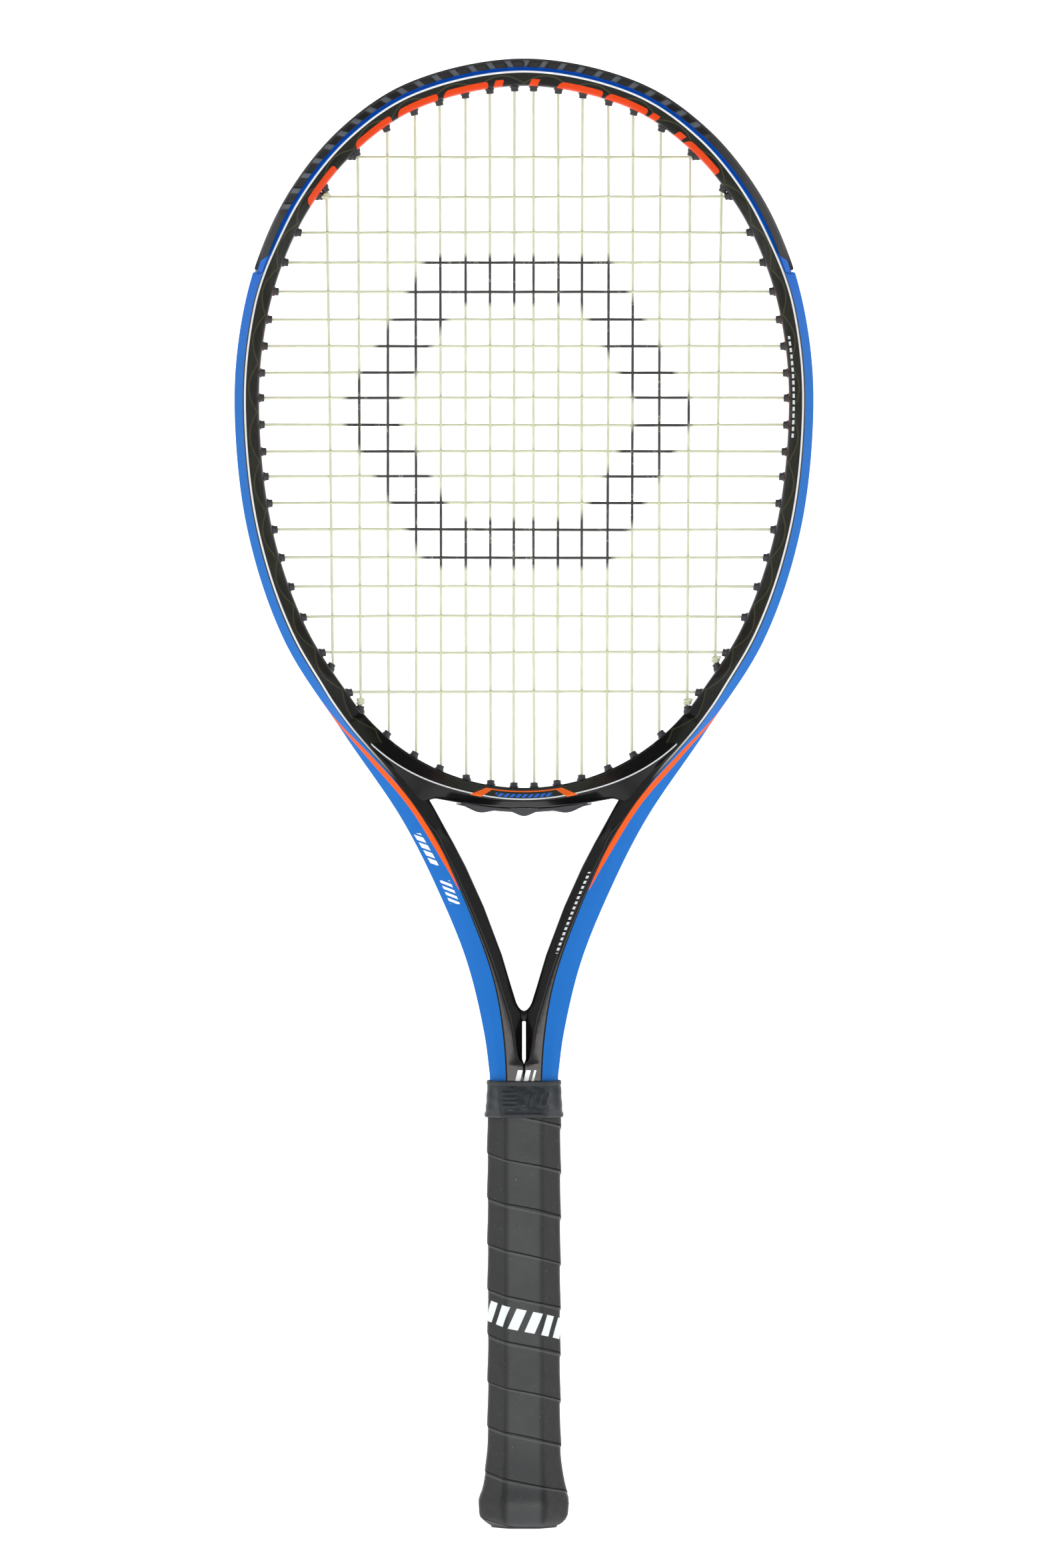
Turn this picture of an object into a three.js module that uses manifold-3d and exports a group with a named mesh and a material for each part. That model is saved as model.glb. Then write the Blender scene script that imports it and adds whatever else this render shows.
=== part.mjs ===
// A strung tennis racket, upright on its own axis. Millimetres, +Z up.
// The origin is the middle of the butt end, +X runs across the face and -Y is the front.
import * as THREE from 'three';
import { mergeVertices } from 'three/addons/utils/BufferGeometryUtils.js';
import Module from 'manifold-3d';

const wasm = await Module();
wasm.setup();

// ---- Driving dimensions: x, z pairs are in the plane of the face ----
const GAP = 0.3; // clearance between touching pieces
const HOLD = 0.8; // mains run this far in front of the middle plane, crosses this far behind it

// Outer edge of the right half: a superellipse over the head, an ellipse below its widest height,
// and a few points down the shaft to the top of the handle.
const TIP = 685.8;
const HEAD = { half: 135.2, widest: 523, drop: 194.5, power: 2.13 };
const TOP_ANGLES = [90, 68, 52, 37, 24, 12, 0];
const LOWER_ANGLES = [17, 34, 51];
const SHAFT_OUTER = [[57, 330.5], [40, 297], [26.5, 263.5], [18.5, 230], [16, 211]];
const turned = (degrees) => [Math.cos(degrees * Math.PI / 180), Math.sin(degrees * Math.PI / 180)];
const OUTER_EDGE = [
  ...TOP_ANGLES.map((angle) => {
    const [across, up] = turned(angle).map((part) => Math.max(part, 0) ** (2 / HEAD.power));
    return [angle === 90 ? 0 : HEAD.half * across, HEAD.widest + (TIP - HEAD.widest) * up];
  }),
  ...LOWER_ANGLES.map((angle) => {
    const [across, down] = turned(angle);
    return [HEAD.half * across, HEAD.widest - HEAD.drop * down];
  }),
  ...SHAFT_OUTER,
];
const HOOP_WIDTH = 11.5; // seen from the front, at the sides of the head
const HEAD_FOOT = 345.3; // lowest point of the head's inner edge
const HEAD_FOOT_RADIUS = 98; // the arc that closes the head at the bottom
const FOOT_ARC_REACH = 75; // half width of that arc, where it meets the hoop's inner edge
// Inner edge of the right shaft, from where it leaves the head down to the legs in the handle.
const SHAFT_INNER_EDGE = [
  [60, 365.8], [42.3, 336.5], [32.9, 319.6], [27, 308.3], [18.6, 289.6], [10.2, 267.2],
  [5.8, 252.3], [3.4, 244.5], [0.8, 240], [0.8, 0],
];
const SHAFT_GAP_HALF = 0.8; // half the slit between the two legs
const HOOP_DEPTH = 21;
const SHAFT_DEPTH = 22;
const WALL = 1.4; // thickness of the tube's inner wall
// Inside the handle the shafts go on as two thinner legs.
const LEG_DEPTH = 16;
const LEG_OUTER = 11.4;
const LEG_TOP = 190;
const LEG_FOOT = 22;
const LEG_PLUG_LENGTH = 18;
const SHAFT_FOOT = 196.3; // the full shafts end at this height, just inside the collar
const SHAFT_FOOT_HALF = 15.7;
const WEB_TOP = 217; // the solid web between the shafts reaches up to this height
const THROAT_WEB = [236.4, 241.3]; // and a short one closes the slit below the throat opening

// Grooves, grommets and strings
const GROOVE_DEPTH = 3.2;
const GROOVE_HALF = 3.1;
const STRIP_TOP = 2.0; // how deep the grommet strip's face lies below the frame's outer edge
const STRIP_BASE = 2.9;
const STRIP_HALF = 2.8;
const BARREL_RADIUS = 1.9;
const BARREL_STAND = 2.3; // how far a barrel stands out inside the head
const BORE_RADIUS = 1.12;
const HOLE_RADIUS = BARREL_RADIUS + 0.35;
const HOLE_SIDES = 6;
const BORE_RUN_OUT = 2.6; // how far bores are cut past a strip's face
const HOLE_RUN_OUT = 1.6; // how far holes are cut past both faces of the frame
const STRING_RADIUS = 0.65;
const STRING_SIDES = 5;
const RUN_DEPTH = STRIP_TOP - GAP - STRING_RADIUS; // middle of a string lying in the groove
// The strings stand closest in the middle of the face and spread towards its edges.
const MAIN_FIRST = 4.8; // the first main to the right of the middle
const MAIN_PITCH = 11;
const MAIN_SPREAD = { top: 0.08, foot: 0.06, power: 2.5 };
const mainRow = (spread) => [0, 1, 2, 3, 4, 5, 6, 7].map(
  (i) => MAIN_FIRST + MAIN_PITCH * i + spread * i ** MAIN_SPREAD.power,
);
const MAIN_TOPS = mainRow(MAIN_SPREAD.top);
const MAIN_FEET = mainRow(MAIN_SPREAD.foot);
const FOOT_LEAN = [0, 0, 0, 0.85, 0.85, 0.85, 0.2, 0.5]; // see seat()
const CROSS_MIDDLE = 515;
const CROSS_PITCH = 12.25;
const CROSS_SPREAD = 0.00025; // grows with the fifth power of the distance from the middle cross
const CROSSES = Array.from({ length: 19 }, (_, i) => 9 - i).map(
  (step) => CROSS_MIDDLE + CROSS_PITCH * step + CROSS_SPREAD * step ** 5,
);
const BUMPER_END = 587; // the bumper guard reaches down to this height on both sides
const STRIP_FIRST_CROSS = 4; // index of the first cross whose grommets are on the side strips
const BRIDGE_MAINS = 3; // mains on each side that pass through the throat strip
const SHOULDER_MAINS = 2; // the next ones, which pass through the shoulder grommets

// Bridge
const BRIDGE_FOOT = 335.5;
const BRIDGE_RISE = 3.4; // how much higher its lower edge is at the ends of the throat strip
const THROAT_STRIP_HALF = 31;
const BRIDGE_DEPTH = 19;

// Handle
const GRIP_HALF = { x: 17, y: 15.2 };
const GRIP_THICKNESS = 1.5;
const GRIP_FOOT = 5;
const GRIP_TOP = 195;
const PALLET_TOP = 189.5;
const CAP_TOP = 32;
const CAP_SOCKET = { x: 13.7, y: 11.9 };
const CAP_FLOOR = 2.4;
const DOOR_HALF = { x: 9.7, y: 7.7 };
const STAPLE_Z = 27;

const SAMPLES = 420; // fine steps along half of the outer edge
const HOOP_STEP = 14; // fine steps between two sections of the frame
const Y = new THREE.Vector3(0, 1, 0);
const Z = new THREE.Vector3(0, 0, 1);
const v2 = (x, z) => new THREE.Vector2(x, z);
const { smoothstep, lerp } = THREE.MathUtils;

// ---- Solids ----

// Skins a row of closed sections, all with the same number of points, and closes both ends.
function loft(sections) {
  const count = sections[0].length;
  const points = sections.flat();
  const faces = [];
  for (let row = 0; row + 1 < sections.length; row++) {
    for (let i = 0; i < count; i++) {
      const a = row * count + i;
      const b = row * count + ((i + 1) % count);
      faces.push([a, b, b + count], [a, b + count, a + count]);
    }
  }
  const flat = flatten(sections[0]);
  for (const [a, b, c] of THREE.ShapeUtils.triangulateShape(flat, [])) {
    const last = points.length - count;
    faces.push([a, c, b], [last + a, last + b, last + c]);
  }
  const geometry = new THREE.BufferGeometry().setFromPoints(points);
  geometry.setIndex(faces.flat());
  return outward(geometry);
}

// The points of one section in its own plane, for closing an end.
function flatten(section) {
  const normal = new THREE.Vector3();
  for (let i = 0; i < section.length; i++) {
    normal.add(section[i].clone().cross(section[(i + 1) % section.length]));
  }
  const turn = new THREE.Quaternion().setFromUnitVectors(normal.normalize(), Z);
  return section.map((p) => p.clone().applyQuaternion(turn)).map((p) => v2(p.x, p.y));
}

// Turns the faces round if they point inwards.
function outward(geometry) {
  const at = geometry.attributes.position;
  const index = geometry.index.array;
  const [a, b, c] = [new THREE.Vector3(), new THREE.Vector3(), new THREE.Vector3()];
  let volume = 0;
  for (let i = 0; i < index.length; i += 3) {
    a.fromBufferAttribute(at, index[i]);
    b.fromBufferAttribute(at, index[i + 1]);
    c.fromBufferAttribute(at, index[i + 2]);
    volume += a.dot(b.cross(c));
  }
  if (volume < 0) {
    for (let i = 0; i < index.length; i += 3) {
      [index[i + 1], index[i + 2]] = [index[i + 2], index[i + 1]];
    }
  }
  return geometry;
}

// A closed geometry as a solid that can be joined and cut.
function solid(geometry) {
  const plain = geometry.clone();
  plain.deleteAttribute('normal');
  plain.deleteAttribute('uv');
  const merged = mergeVertices(plain, 1e-4);
  return new wasm.Manifold(new wasm.Mesh({
    numProp: 3,
    vertProperties: Float32Array.from(merged.attributes.position.array),
    triVerts: Uint32Array.from(merged.index.array),
  }));
}

function geometryOf(manifold) {
  const { vertProperties, triVerts, numProp } = manifold.getMesh();
  const points = [];
  for (let i = 0; i < vertProperties.length; i += numProp) {
    points.push(new THREE.Vector3(vertProperties[i], vertProperties[i + 1], vertProperties[i + 2]));
  }
  const geometry = new THREE.BufferGeometry().setFromPoints(points);
  geometry.setIndex([...triVerts]);
  geometry.computeVertexNormals();
  return geometry;
}

const joined = (solids) => solids.reduce((sum, s) => sum.add(s));
const cutBy = (body, cutters) => cutters.reduce((rest, cutter) => rest.subtract(cutter), body);

function box(low, high) {
  const size = high.map((h, i) => h - low[i]);
  const geometry = new THREE.BoxGeometry(...size);
  geometry.translate(...low.map((l, i) => l + size[i] / 2));
  return solid(geometry);
}

// ---- Edges: rows of fine steps along an outline in the plane of the face ----

// Each step holds its point, the direction into the material and the material's width there.
function edgeSteps(points, inside) {
  return points.map((point, i) => {
    const before = points[Math.max(i - 1, 0)];
    const after = points[Math.min(i + 1, points.length - 1)];
    const along = after.clone().sub(before).normalize();
    const into = v2(-along.y, along.x);
    if (into.dot(inside(point)) < 0) into.negate();
    return { point, into };
  });
}

const mirrored = (point) => v2(-point.x, point.y);
const mirrorStep = (step) => ({ ...step, point: mirrored(step.point), into: mirrored(step.into) });
const placed = (step, depth) => step.point.clone().addScaledVector(step.into, depth);

// Where a ray from a point first meets a row of points: the distance along the ray.
function reach(from, direction, line) {
  let nearest = Infinity;
  for (let i = 0; i + 1 < line.length; i++) {
    const edge = line[i + 1].clone().sub(line[i]);
    const apart = line[i].clone().sub(from);
    const turn = direction.cross(edge);
    if (Math.abs(turn) < 1e-9) continue;
    const distance = apart.cross(edge) / turn;
    const share = apart.cross(direction) / turn;
    if (distance > 0.01 && share >= 0 && share <= 1) nearest = Math.min(nearest, distance);
  }
  return nearest;
}

const hoopWidth = (z) =>
  HOOP_WIDTH + 1.2 * smoothstep(z, 560, 670) + 0.7 * (1 - smoothstep(z, 380, 460));
const footArc = (x) =>
  v2(x, HEAD_FOOT + HEAD_FOOT_RADIUS - Math.sqrt(HEAD_FOOT_RADIUS ** 2 - x ** 2));

// Right half of the outer edge, from the tip down to the handle.
const rightOuter = (() => {
  const half = OUTER_EDGE.map(([x, z]) => new THREE.Vector3(x, 0, z));
  const left = half.slice(1).reverse().map((p) => new THREE.Vector3(-p.x, 0, p.z));
  const curve = new THREE.CatmullRomCurve3([...left, ...half], false, 'centripetal');
  const points = curve.getSpacedPoints(2 * SAMPLES).slice(SAMPLES).map((p) => v2(p.x, p.z));
  points[0].x = 0;
  return edgeSteps(points, (p) => v2(-p.x, 480 - p.y));
})();

// Right half of the head's inner edge, from the top to the middle of the bridge.
const rightHeadInner = (() => {
  const hoop = rightOuter.map((step) => placed(step, hoopWidth(step.point.y)));
  const points = hoop.filter((p, i) => i === 0 || (p.x > 0 && p.y > 470));
  const lower = hoop.filter((p) => p.y <= 470 && p.x > FOOT_ARC_REACH);
  const arc = [];
  for (let x = FOOT_ARC_REACH; x >= 0; x -= 1) arc.push(footArc(x));
  return edgeSteps([...points, ...lower, ...arc], (p) => v2(-p.x, 510 - p.y));
})();

// What the frame's sections reach in to: the head's inner edge, then the shaft's.
const rightInnerLine = [
  ...rightHeadInner.map((s) => s.point).filter((p) => p.y > 400 || p.x > SHAFT_INNER_EDGE[0][0]),
  ...SHAFT_INNER_EDGE.map(([x, z]) => v2(x, z)),
];

// ---- Frame: one tube bent like a hairpin, hoop and both shafts ----

// Sizes of the frame's section at a height: flats, crest and hollow.
function sectionSizes(z, width) {
  const shaft = 1 - smoothstep(z, 300, 372);
  const leg = z < SHAFT_FOOT - 1 ? 1 : 0;
  const depth = lerp(lerp(HOOP_DEPTH, SHAFT_DEPTH, shaft), LEG_DEPTH, leg);
  return {
    depth,
    outerFlat: lerp(lerp(5, 5.5, shaft), 4, leg),
    innerFlat: lerp(lerp(3.5, 7, shaft), 7.4, leg),
    crest: lerp(4.7, Math.min(7.4, width * 0.48), shaft),
    hollowFrom: lerp(lerp(4.6, 1.7, shaft), 1.4, leg),
    hollowOuter: lerp(lerp(8.2, 5.2, shaft), 3.7, leg),
    hollowInner: lerp(lerp(3.2, 5.6, shaft), 5.6, leg),
  };
}

const at = (step, depth, y) => {
  const p = placed(step, depth);
  return new THREE.Vector3(p.x, y, p.y);
};
const section = (step, profile) => profile.map(([depth, y]) => at(step, depth, y));

function tubeProfile(step) {
  const s = sectionSizes(step.point.y, step.width);
  return [
    [0, s.outerFlat], [0, -s.outerFlat], [s.crest, -s.depth / 2],
    [step.width, -s.innerFlat], [step.width, s.innerFlat], [s.crest, s.depth / 2],
  ];
}

function hollowProfile(step, clearance = 0) {
  const s = sectionSizes(step.point.y, step.width);
  const [near, far] = [s.hollowFrom + clearance, step.width - WALL - clearance];
  return [
    [near, s.hollowOuter - clearance], [near, clearance - s.hollowOuter],
    [far, clearance - s.hollowInner], [far, s.hollowInner - clearance],
  ];
}

const legStep = (half, z) => ({
  point: v2(half, z), into: v2(-1, 0), width: half - SHAFT_GAP_HALF,
});

function frameSteps() {
  const spline = rightOuter.filter((_, i) => i % HOOP_STEP === 0 || i === SAMPLES);
  const half = spline.map((step) => ({ ...step, width: reach(step.point, step.into, rightInnerLine) }));
  half[0].width = hoopWidth(half[0].point.y);
  half.push(legStep(SHAFT_FOOT_HALF, SHAFT_FOOT));
  half.push(legStep(LEG_OUTER, LEG_TOP), legStep(LEG_OUTER, LEG_FOOT));
  return [...half.slice(1).reverse().map(mirrorStep), ...half];
}

// Steps of the outer edge between two heights on the right side, with both its ends.
function rightRun(high, low, every) {
  const run = rightOuter.filter((s) => s.point.y <= high && s.point.y >= low);
  const ends = [run[0], run[run.length - 1]];
  return run.filter((s) => ends.includes(s) || rightOuter.indexOf(s) % every === 0);
}

// A run with a short step added at each end, for cutting a seat with clearance at its ends.
function longer(run, by = GAP) {
  const past = (end, next) => ({
    ...end,
    point: end.point.clone().add(end.point.clone().sub(next.point).setLength(by)),
  });
  return [past(run[0], run[1]), ...run, past(run[run.length - 1], run[run.length - 2])];
}

// The same from a height on the left side, over the tip, to that height on the right.
function runOverTip(low, every) {
  const half = rightRun(Infinity, low, every);
  return [...half.slice(1).reverse().map(mirrorStep), ...half];
}

const SHOULDER_END = 348; // the string groove ends at this height on both shoulders
const grooveProfile = [
  [-1, GROOVE_HALF], [-1, -GROOVE_HALF], [GROOVE_DEPTH, -GROOVE_HALF], [GROOVE_DEPTH, GROOVE_HALF],
];
const bumperSeatProfile = [
  [-2, 12], [-2, -12], [3.8, -12], [3.8, -7.3], [1.8, -4.9], [1.8, 4.9], [3.8, 7.3], [3.8, 12],
];

// ---- Grommets ----

// Every string end: the mouth of its barrel inside the head and the direction out through the frame.
// A barrel leans from its string's own line towards the shortest way through the frame.
function seat(key, target, top, lean) {
  let best = null;
  for (const step of rightHeadInner) {
    if (key === 'x' && (step.point.y > 510) !== top) continue;
    const along = key === 'x' ? v2(0, top ? 1 : -1) : v2(1, 0);
    const outwards = along.clone().lerp(step.into.clone().negate(), lean).normalize();
    const mouth = step.point.clone().addScaledVector(outwards, -BARREL_STAND);
    const miss = Math.abs((key === 'x' ? mouth.x : mouth.y) - target);
    if (!best || miss < best.miss) best = { mouth, outwards, along, miss };
  }
  return best;
}

const mirrorSeat = (s) => ({
  ...s, mouth: mirrored(s.mouth), outwards: mirrored(s.outwards), along: mirrored(s.along),
});
const mainTops = MAIN_TOPS.map((x) => ({ ...seat('x', x, true, 0.5), y: -HOLD }));
const mainFeet = MAIN_FEET.map((x, i) => ({ ...seat('x', x, false, FOOT_LEAN[i]), y: -HOLD }));
const crossEnds = CROSSES.map((z) => ({ ...seat('z', z, false, 0.35), y: HOLD }));

// A prism along a string hole, from and to distances measured out from the barrel's mouth.
function prism(hole, radius, from, to) {
  const geometry = new THREE.CylinderGeometry(radius, radius, to - from, HOLE_SIDES);
  const direction = new THREE.Vector3(hole.outwards.x, 0, hole.outwards.y);
  geometry.applyQuaternion(new THREE.Quaternion().setFromUnitVectors(Y, direction));
  const middle = hole.mouth.clone().addScaledVector(hole.outwards, (from + to) / 2);
  geometry.translate(middle.x, hole.y, middle.y);
  return solid(geometry);
}

// Distance from a barrel's mouth out to a line that lies a given depth inside an edge.
const lengthTo = (hole, edge, depth) =>
  reach(hole.mouth, hole.outwards, edge.map((step) => placed(step, depth)));

// Adds barrels to a strip that lies along an edge, and bores them through.
function withBarrels(strip, holes, edge, face, base) {
  const barrels = holes.map((h) => prism(h, BARREL_RADIUS, 0, lengthTo(h, edge, (face + base) / 2)));
  const bores = holes.map((h) => prism(h, BORE_RADIUS, -1, lengthTo(h, edge, face) + BORE_RUN_OUT));
  return cutBy(joined([strip, ...barrels]), bores);
}

const holesIn = (holes, edge, depth) =>
  holes.map((h) => prism(h, HOLE_RADIUS, -HOLE_RUN_OUT, lengthTo(h, edge, depth) + HOLE_RUN_OUT));

const bothSides = (holes) => [...holes, ...holes.map(mirrorSeat)];
const wholeOuter = [...rightOuter.slice(1).reverse().map(mirrorStep), ...rightOuter];
const bumperHoles = bothSides([...mainTops, ...crossEnds.slice(0, STRIP_FIRST_CROSS)]);
const throughBridge = BRIDGE_MAINS + SHOULDER_MAINS;
const sideHoles = [...crossEnds.slice(STRIP_FIRST_CROSS), ...mainFeet.slice(throughBridge)];
const shoulderHoles = mainFeet.slice(BRIDGE_MAINS, throughBridge);
const throatHoles = bothSides(mainFeet.slice(0, BRIDGE_MAINS));

// ---- Frame pieces ----

function frameHairpin() {
  const steps = frameSteps();
  const tube = solid(loft(steps.map((s) => section(s, tubeProfile(s)))));
  const [first, last] = [steps[0], steps[steps.length - 1]];
  const past = (s) => ({ ...s, point: v2(s.point.x, s.point.y - 2) });
  const open = [past(first), ...steps, past(last)];
  const hollow = solid(loft(open.map((s) => section(s, hollowProfile(s)))));
  const web = joined([
    box([-3, -6.5, SHAFT_FOOT + 1], [3, 6.5, WEB_TOP]),
    box([-2.2, -6, THROAT_WEB[0]], [2.2, 6, THROAT_WEB[1]]),
  ]);
  const groove = solid(loft(runOverTip(SHOULDER_END, HOOP_STEP).map((s) => section(s, grooveProfile))));
  const bumperSeat = solid(loft(
    longer(runOverTip(BUMPER_END, HOOP_STEP)).map((s) => section(s, bumperSeatProfile)),
  ));
  const holes = holesIn([...bumperHoles, ...bothSides(sideHoles)], wholeOuter, GROOVE_DEPTH);
  return cutBy(tube.add(web), [hollow, groove, bumperSeat, ...holes]);
}

// Sections of the bridge from its lower edge up to the head's inner edge, left to right.
function bridgeSteps() {
  const step = (foot, top) => {
    const into = top.clone().sub(foot);
    const width = into.length();
    return { point: foot, into: into.normalize(), width };
  };
  const half = [0, 8, 16, 24, THROAT_STRIP_HALF].map((x) => step(bridgeFoot(x), footArc(x * 1.06)));
  half.push(step(v2(37.5, 340.5), footArc(44)), step(v2(41.9, 337.3), v2(59.3, 365.4)));
  return [...half.slice(1).reverse().map(mirrorStep), ...half];
}
const bridgeFoot = (x) => v2(x, BRIDGE_FOOT + BRIDGE_RISE * (x / THROAT_STRIP_HALF) ** 2);

function bridgeProfile(step) {
  const crest = step.width * 0.45;
  return [
    [0, 4.5], [0, -4.5], [crest, -BRIDGE_DEPTH / 2], [step.width, -3.5],
    [step.width, 3.5], [crest, BRIDGE_DEPTH / 2],
  ];
}

// The face where the bridge meets the right shaft, from the throat corner up to the head.
const shoulderFace = (() => {
  const [[topX, topZ], [footX, footZ]] = SHAFT_INNER_EDGE;
  const points = [0.02, 0.2, 0.4, 0.6, 0.8].map((t) => v2(lerp(footX, topX, t), lerp(footZ, topZ, t)));
  return edgeSteps(points, () => v2(-1, 0.5));
})();

const throatEdge = (() => {
  const points = [];
  for (let x = -THROAT_STRIP_HALF; x <= THROAT_STRIP_HALF; x += 1) points.push(bridgeFoot(x));
  return edgeSteps(points, () => v2(0, 1));
})();

function throatBridge() {
  const body = solid(loft(bridgeSteps().map((s) => section(s, bridgeProfile(s)))));
  const channels = [shoulderFace, shoulderFace.map(mirrorStep)]
    .map((face) => solid(loft(face.map((s) => section(s, grooveProfile)))));
  const holes = [
    ...holesIn(throatHoles, throatEdge, -1),
    ...holesIn(shoulderHoles, shoulderFace, GROOVE_DEPTH),
    ...holesIn(shoulderHoles.map(mirrorSeat), shoulderFace.map(mirrorStep), GROOVE_DEPTH),
  ];
  return cutBy(body, [...channels, ...holes]);
}

// ---- Strips ----

function bumperGuard() {
  const half = [[2, 1.75], [0, 2.2], [0, 5], [3.5, 9.1], [3.5, 7.6], [1.5, 5.2], [1.5, 2.8], [2.9, 2.8]];
  const profile = [...half, ...half.map(([d, y]) => [d, -y]).reverse()];
  const run = runOverTip(BUMPER_END, HOOP_STEP);
  const strip = solid(loft(run.map((s) => section(s, profile))));
  return withBarrels(strip, bumperHoles, wholeOuter, STRIP_TOP, STRIP_BASE);
}

const stripProfile = [
  [STRIP_TOP, STRIP_HALF], [STRIP_TOP, -STRIP_HALF], [STRIP_BASE, -STRIP_HALF], [STRIP_BASE, STRIP_HALF],
];

function sideStrip(side) {
  const run = rightRun(BUMPER_END - 3, SHOULDER_END + 2, HOOP_STEP);
  const steps = side > 0 ? run : run.map(mirrorStep);
  const holes = side > 0 ? sideHoles : sideHoles.map(mirrorSeat);
  const strip = solid(loft(steps.map((s) => section(s, stripProfile))));
  return withBarrels(strip, holes, wholeOuter, STRIP_TOP, STRIP_BASE);
}

function shoulderGrommets(side) {
  const face = side > 0 ? shoulderFace : shoulderFace.map(mirrorStep);
  const holes = side > 0 ? shoulderHoles : shoulderHoles.map(mirrorSeat);
  const inner = face.map((s, i) => {
    const shift = i === 0 ? GAP : i === face.length - 1 ? -GAP : 0;
    const along = v2(face[1].point.x - face[0].point.x, face[1].point.y - face[0].point.y).normalize();
    return { ...s, point: s.point.clone().addScaledVector(along, shift) };
  });
  const strip = solid(loft(inner.map((s) => section(s, stripProfile))));
  const above = [[-4, 5], [-4, -5], [STRIP_TOP, -5], [STRIP_TOP, 5]];
  const stringRoom = solid(loft(longer(face, 3).map((s) => section(s, above))));
  return withBarrels(strip, holes, face, STRIP_TOP, STRIP_BASE).subtract(stringRoom);
}

// The throat strip lies under the bridge, with a lobe over each string that runs outside it.
const THROAT_FACE = -1.2;
const LOBES = [[0, 8], [(MAIN_FEET[1] + MAIN_FEET[2]) / 2, 9]]; // middle and half length
function throatStrip() {
  const lobeAt = (x) => Math.max(...LOBES.map(([middle, half]) => {
    const away = Math.min(Math.abs(Math.abs(x) - middle) / half, 1);
    return 0.5 + 0.5 * Math.cos(Math.PI * away);
  }));
  const steps = throatEdge.filter((_, i) => i % 2 === 1 || i === 0 || i === throatEdge.length - 1);
  const body = solid(loft(steps.map((s) => {
    const low = THROAT_FACE - 0.3 - 2.6 * lobeAt(s.point.x);
    return section(s, [[-GAP, 4], [-GAP, -4], [low, -3.4], [low, 3.4]]);
  })));
  const channelProfile = [[-6, 0.35], [-6, -1.95], [THROAT_FACE, -1.95], [THROAT_FACE, 0.35]];
  const channels = [[-6.6, 6.6], [14, 29], [-29, -14]].map(([from, to]) =>
    solid(loft(throatEdge.filter((s) => s.point.x >= from && s.point.x <= to)
      .filter((_, i) => i % 3 === 0).map((s) => section(s, channelProfile)))));
  return withBarrels(cutBy(body, channels), throatHoles, throatEdge, THROAT_FACE, -GAP);
}

// ---- Strings ----

// Cuts each sharp corner of a route into two.
function eased(route) {
  const out = [route[0]];
  for (let i = 1; i + 1 < route.length; i++) {
    const before = route[i - 1].clone().sub(route[i]).normalize();
    const after = route[i + 1].clone().sub(route[i]).normalize();
    if (before.dot(after) > -0.8) {
      out.push(route[i].clone().addScaledVector(before, 0.55));
      out.push(route[i].clone().addScaledVector(after, 0.55));
    } else out.push(route[i]);
  }
  out.push(route[route.length - 1]);
  return out;
}

// A round string along a route in one plane, with mitred corners.
function stringAlong(route, y) {
  const points = eased(route);
  const sections = points.map((p, i) => {
    const from = (points[i - 1] ? p.clone().sub(points[i - 1]) : points[1].clone().sub(p)).normalize();
    const to = (points[i + 1] ? points[i + 1].clone().sub(p) : from.clone()).normalize();
    const along = from.clone().add(to).normalize();
    const side = v2(-along.y, along.x).multiplyScalar(STRING_RADIUS / Math.max(along.dot(to), 0.7));
    return Array.from({ length: STRING_SIDES }, (_, k) => {
      const angle = (k * 2 * Math.PI) / STRING_SIDES;
      const q = p.clone().addScaledVector(side, Math.cos(angle));
      return new THREE.Vector3(q.x, y + STRING_RADIUS * Math.sin(angle), q.y);
    });
  });
  return loft(sections);
}

// Where a string lying along an edge turns into a hole.
function exitPoint(hole, edge, depth) {
  const distance = lengthTo(hole, edge, depth);
  return hole.mouth.clone().addScaledVector(hole.outwards, distance);
}
const mouthPoint = (hole) => hole.mouth.clone().addScaledVector(hole.outwards, -0.9);

// The route outside the frame from one hole to the next, following the groove between them.
function outside(from, to, edge, depth, until = 1) {
  const [a, b] = [exitPoint(from, edge, depth), exitPoint(to, edge, depth)];
  const count = Math.max(1, Math.round(a.distanceTo(b) / 8));
  const route = [a];
  for (let i = 1; i <= count; i++) {
    const share = (i / count) * until;
    if (share === 1) route.push(b);
    else route.push(ontoEdge(a.clone().lerp(b, share), edge, depth));
  }
  return route;
}

// The point of an edge, at a depth, that is nearest to a point.
function ontoEdge(point, edge, depth) {
  const line = edge.map((step) => placed(step, depth));
  return line.reduce((best, p) => (p.distanceTo(point) < best.distanceTo(point) ? p : best));
}

const shoulderEdge = (x) => (x > 0 ? shoulderFace : shoulderFace.map(mirrorStep));

// Mains of one half, from the middle of the bridge out to the tie-off.
function mainHalfRoute() {
  const route = [v2(0, BRIDGE_FOOT + THROAT_RUN), exitPoint(mainFeet[0], throatEdge, THROAT_RUN)];
  for (let i = 0; i < MAIN_TOPS.length; i++) {
    const upwards = i % 2 === 0;
    const [first, second] = upwards ? [mainFeet[i], mainTops[i]] : [mainTops[i], mainFeet[i]];
    route.push(mouthPoint(first), mouthPoint(second));
    if (i + 1 === MAIN_TOPS.length) route.push(...tieOff(mainFeet[i], mainFeet[i - 1]));
    else if (upwards) route.push(...outside(mainTops[i], mainTops[i + 1], rightOuter, RUN_DEPTH));
    else if (i + 1 < BRIDGE_MAINS) {
      route.push(...outside(mainFeet[i], mainFeet[i + 1], throatEdge, THROAT_RUN));
    } else if (i < throughBridge - 1) {
      route.push(...outside(mainFeet[i], mainFeet[i + 1], shoulderEdge(1), RUN_DEPTH));
    } else route.push(...outside(mainFeet[i], mainFeet[i + 1], rightOuter, RUN_DEPTH));
  }
  return route;
}
const THROAT_RUN = THROAT_FACE - GAP - STRING_RADIUS;

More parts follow.
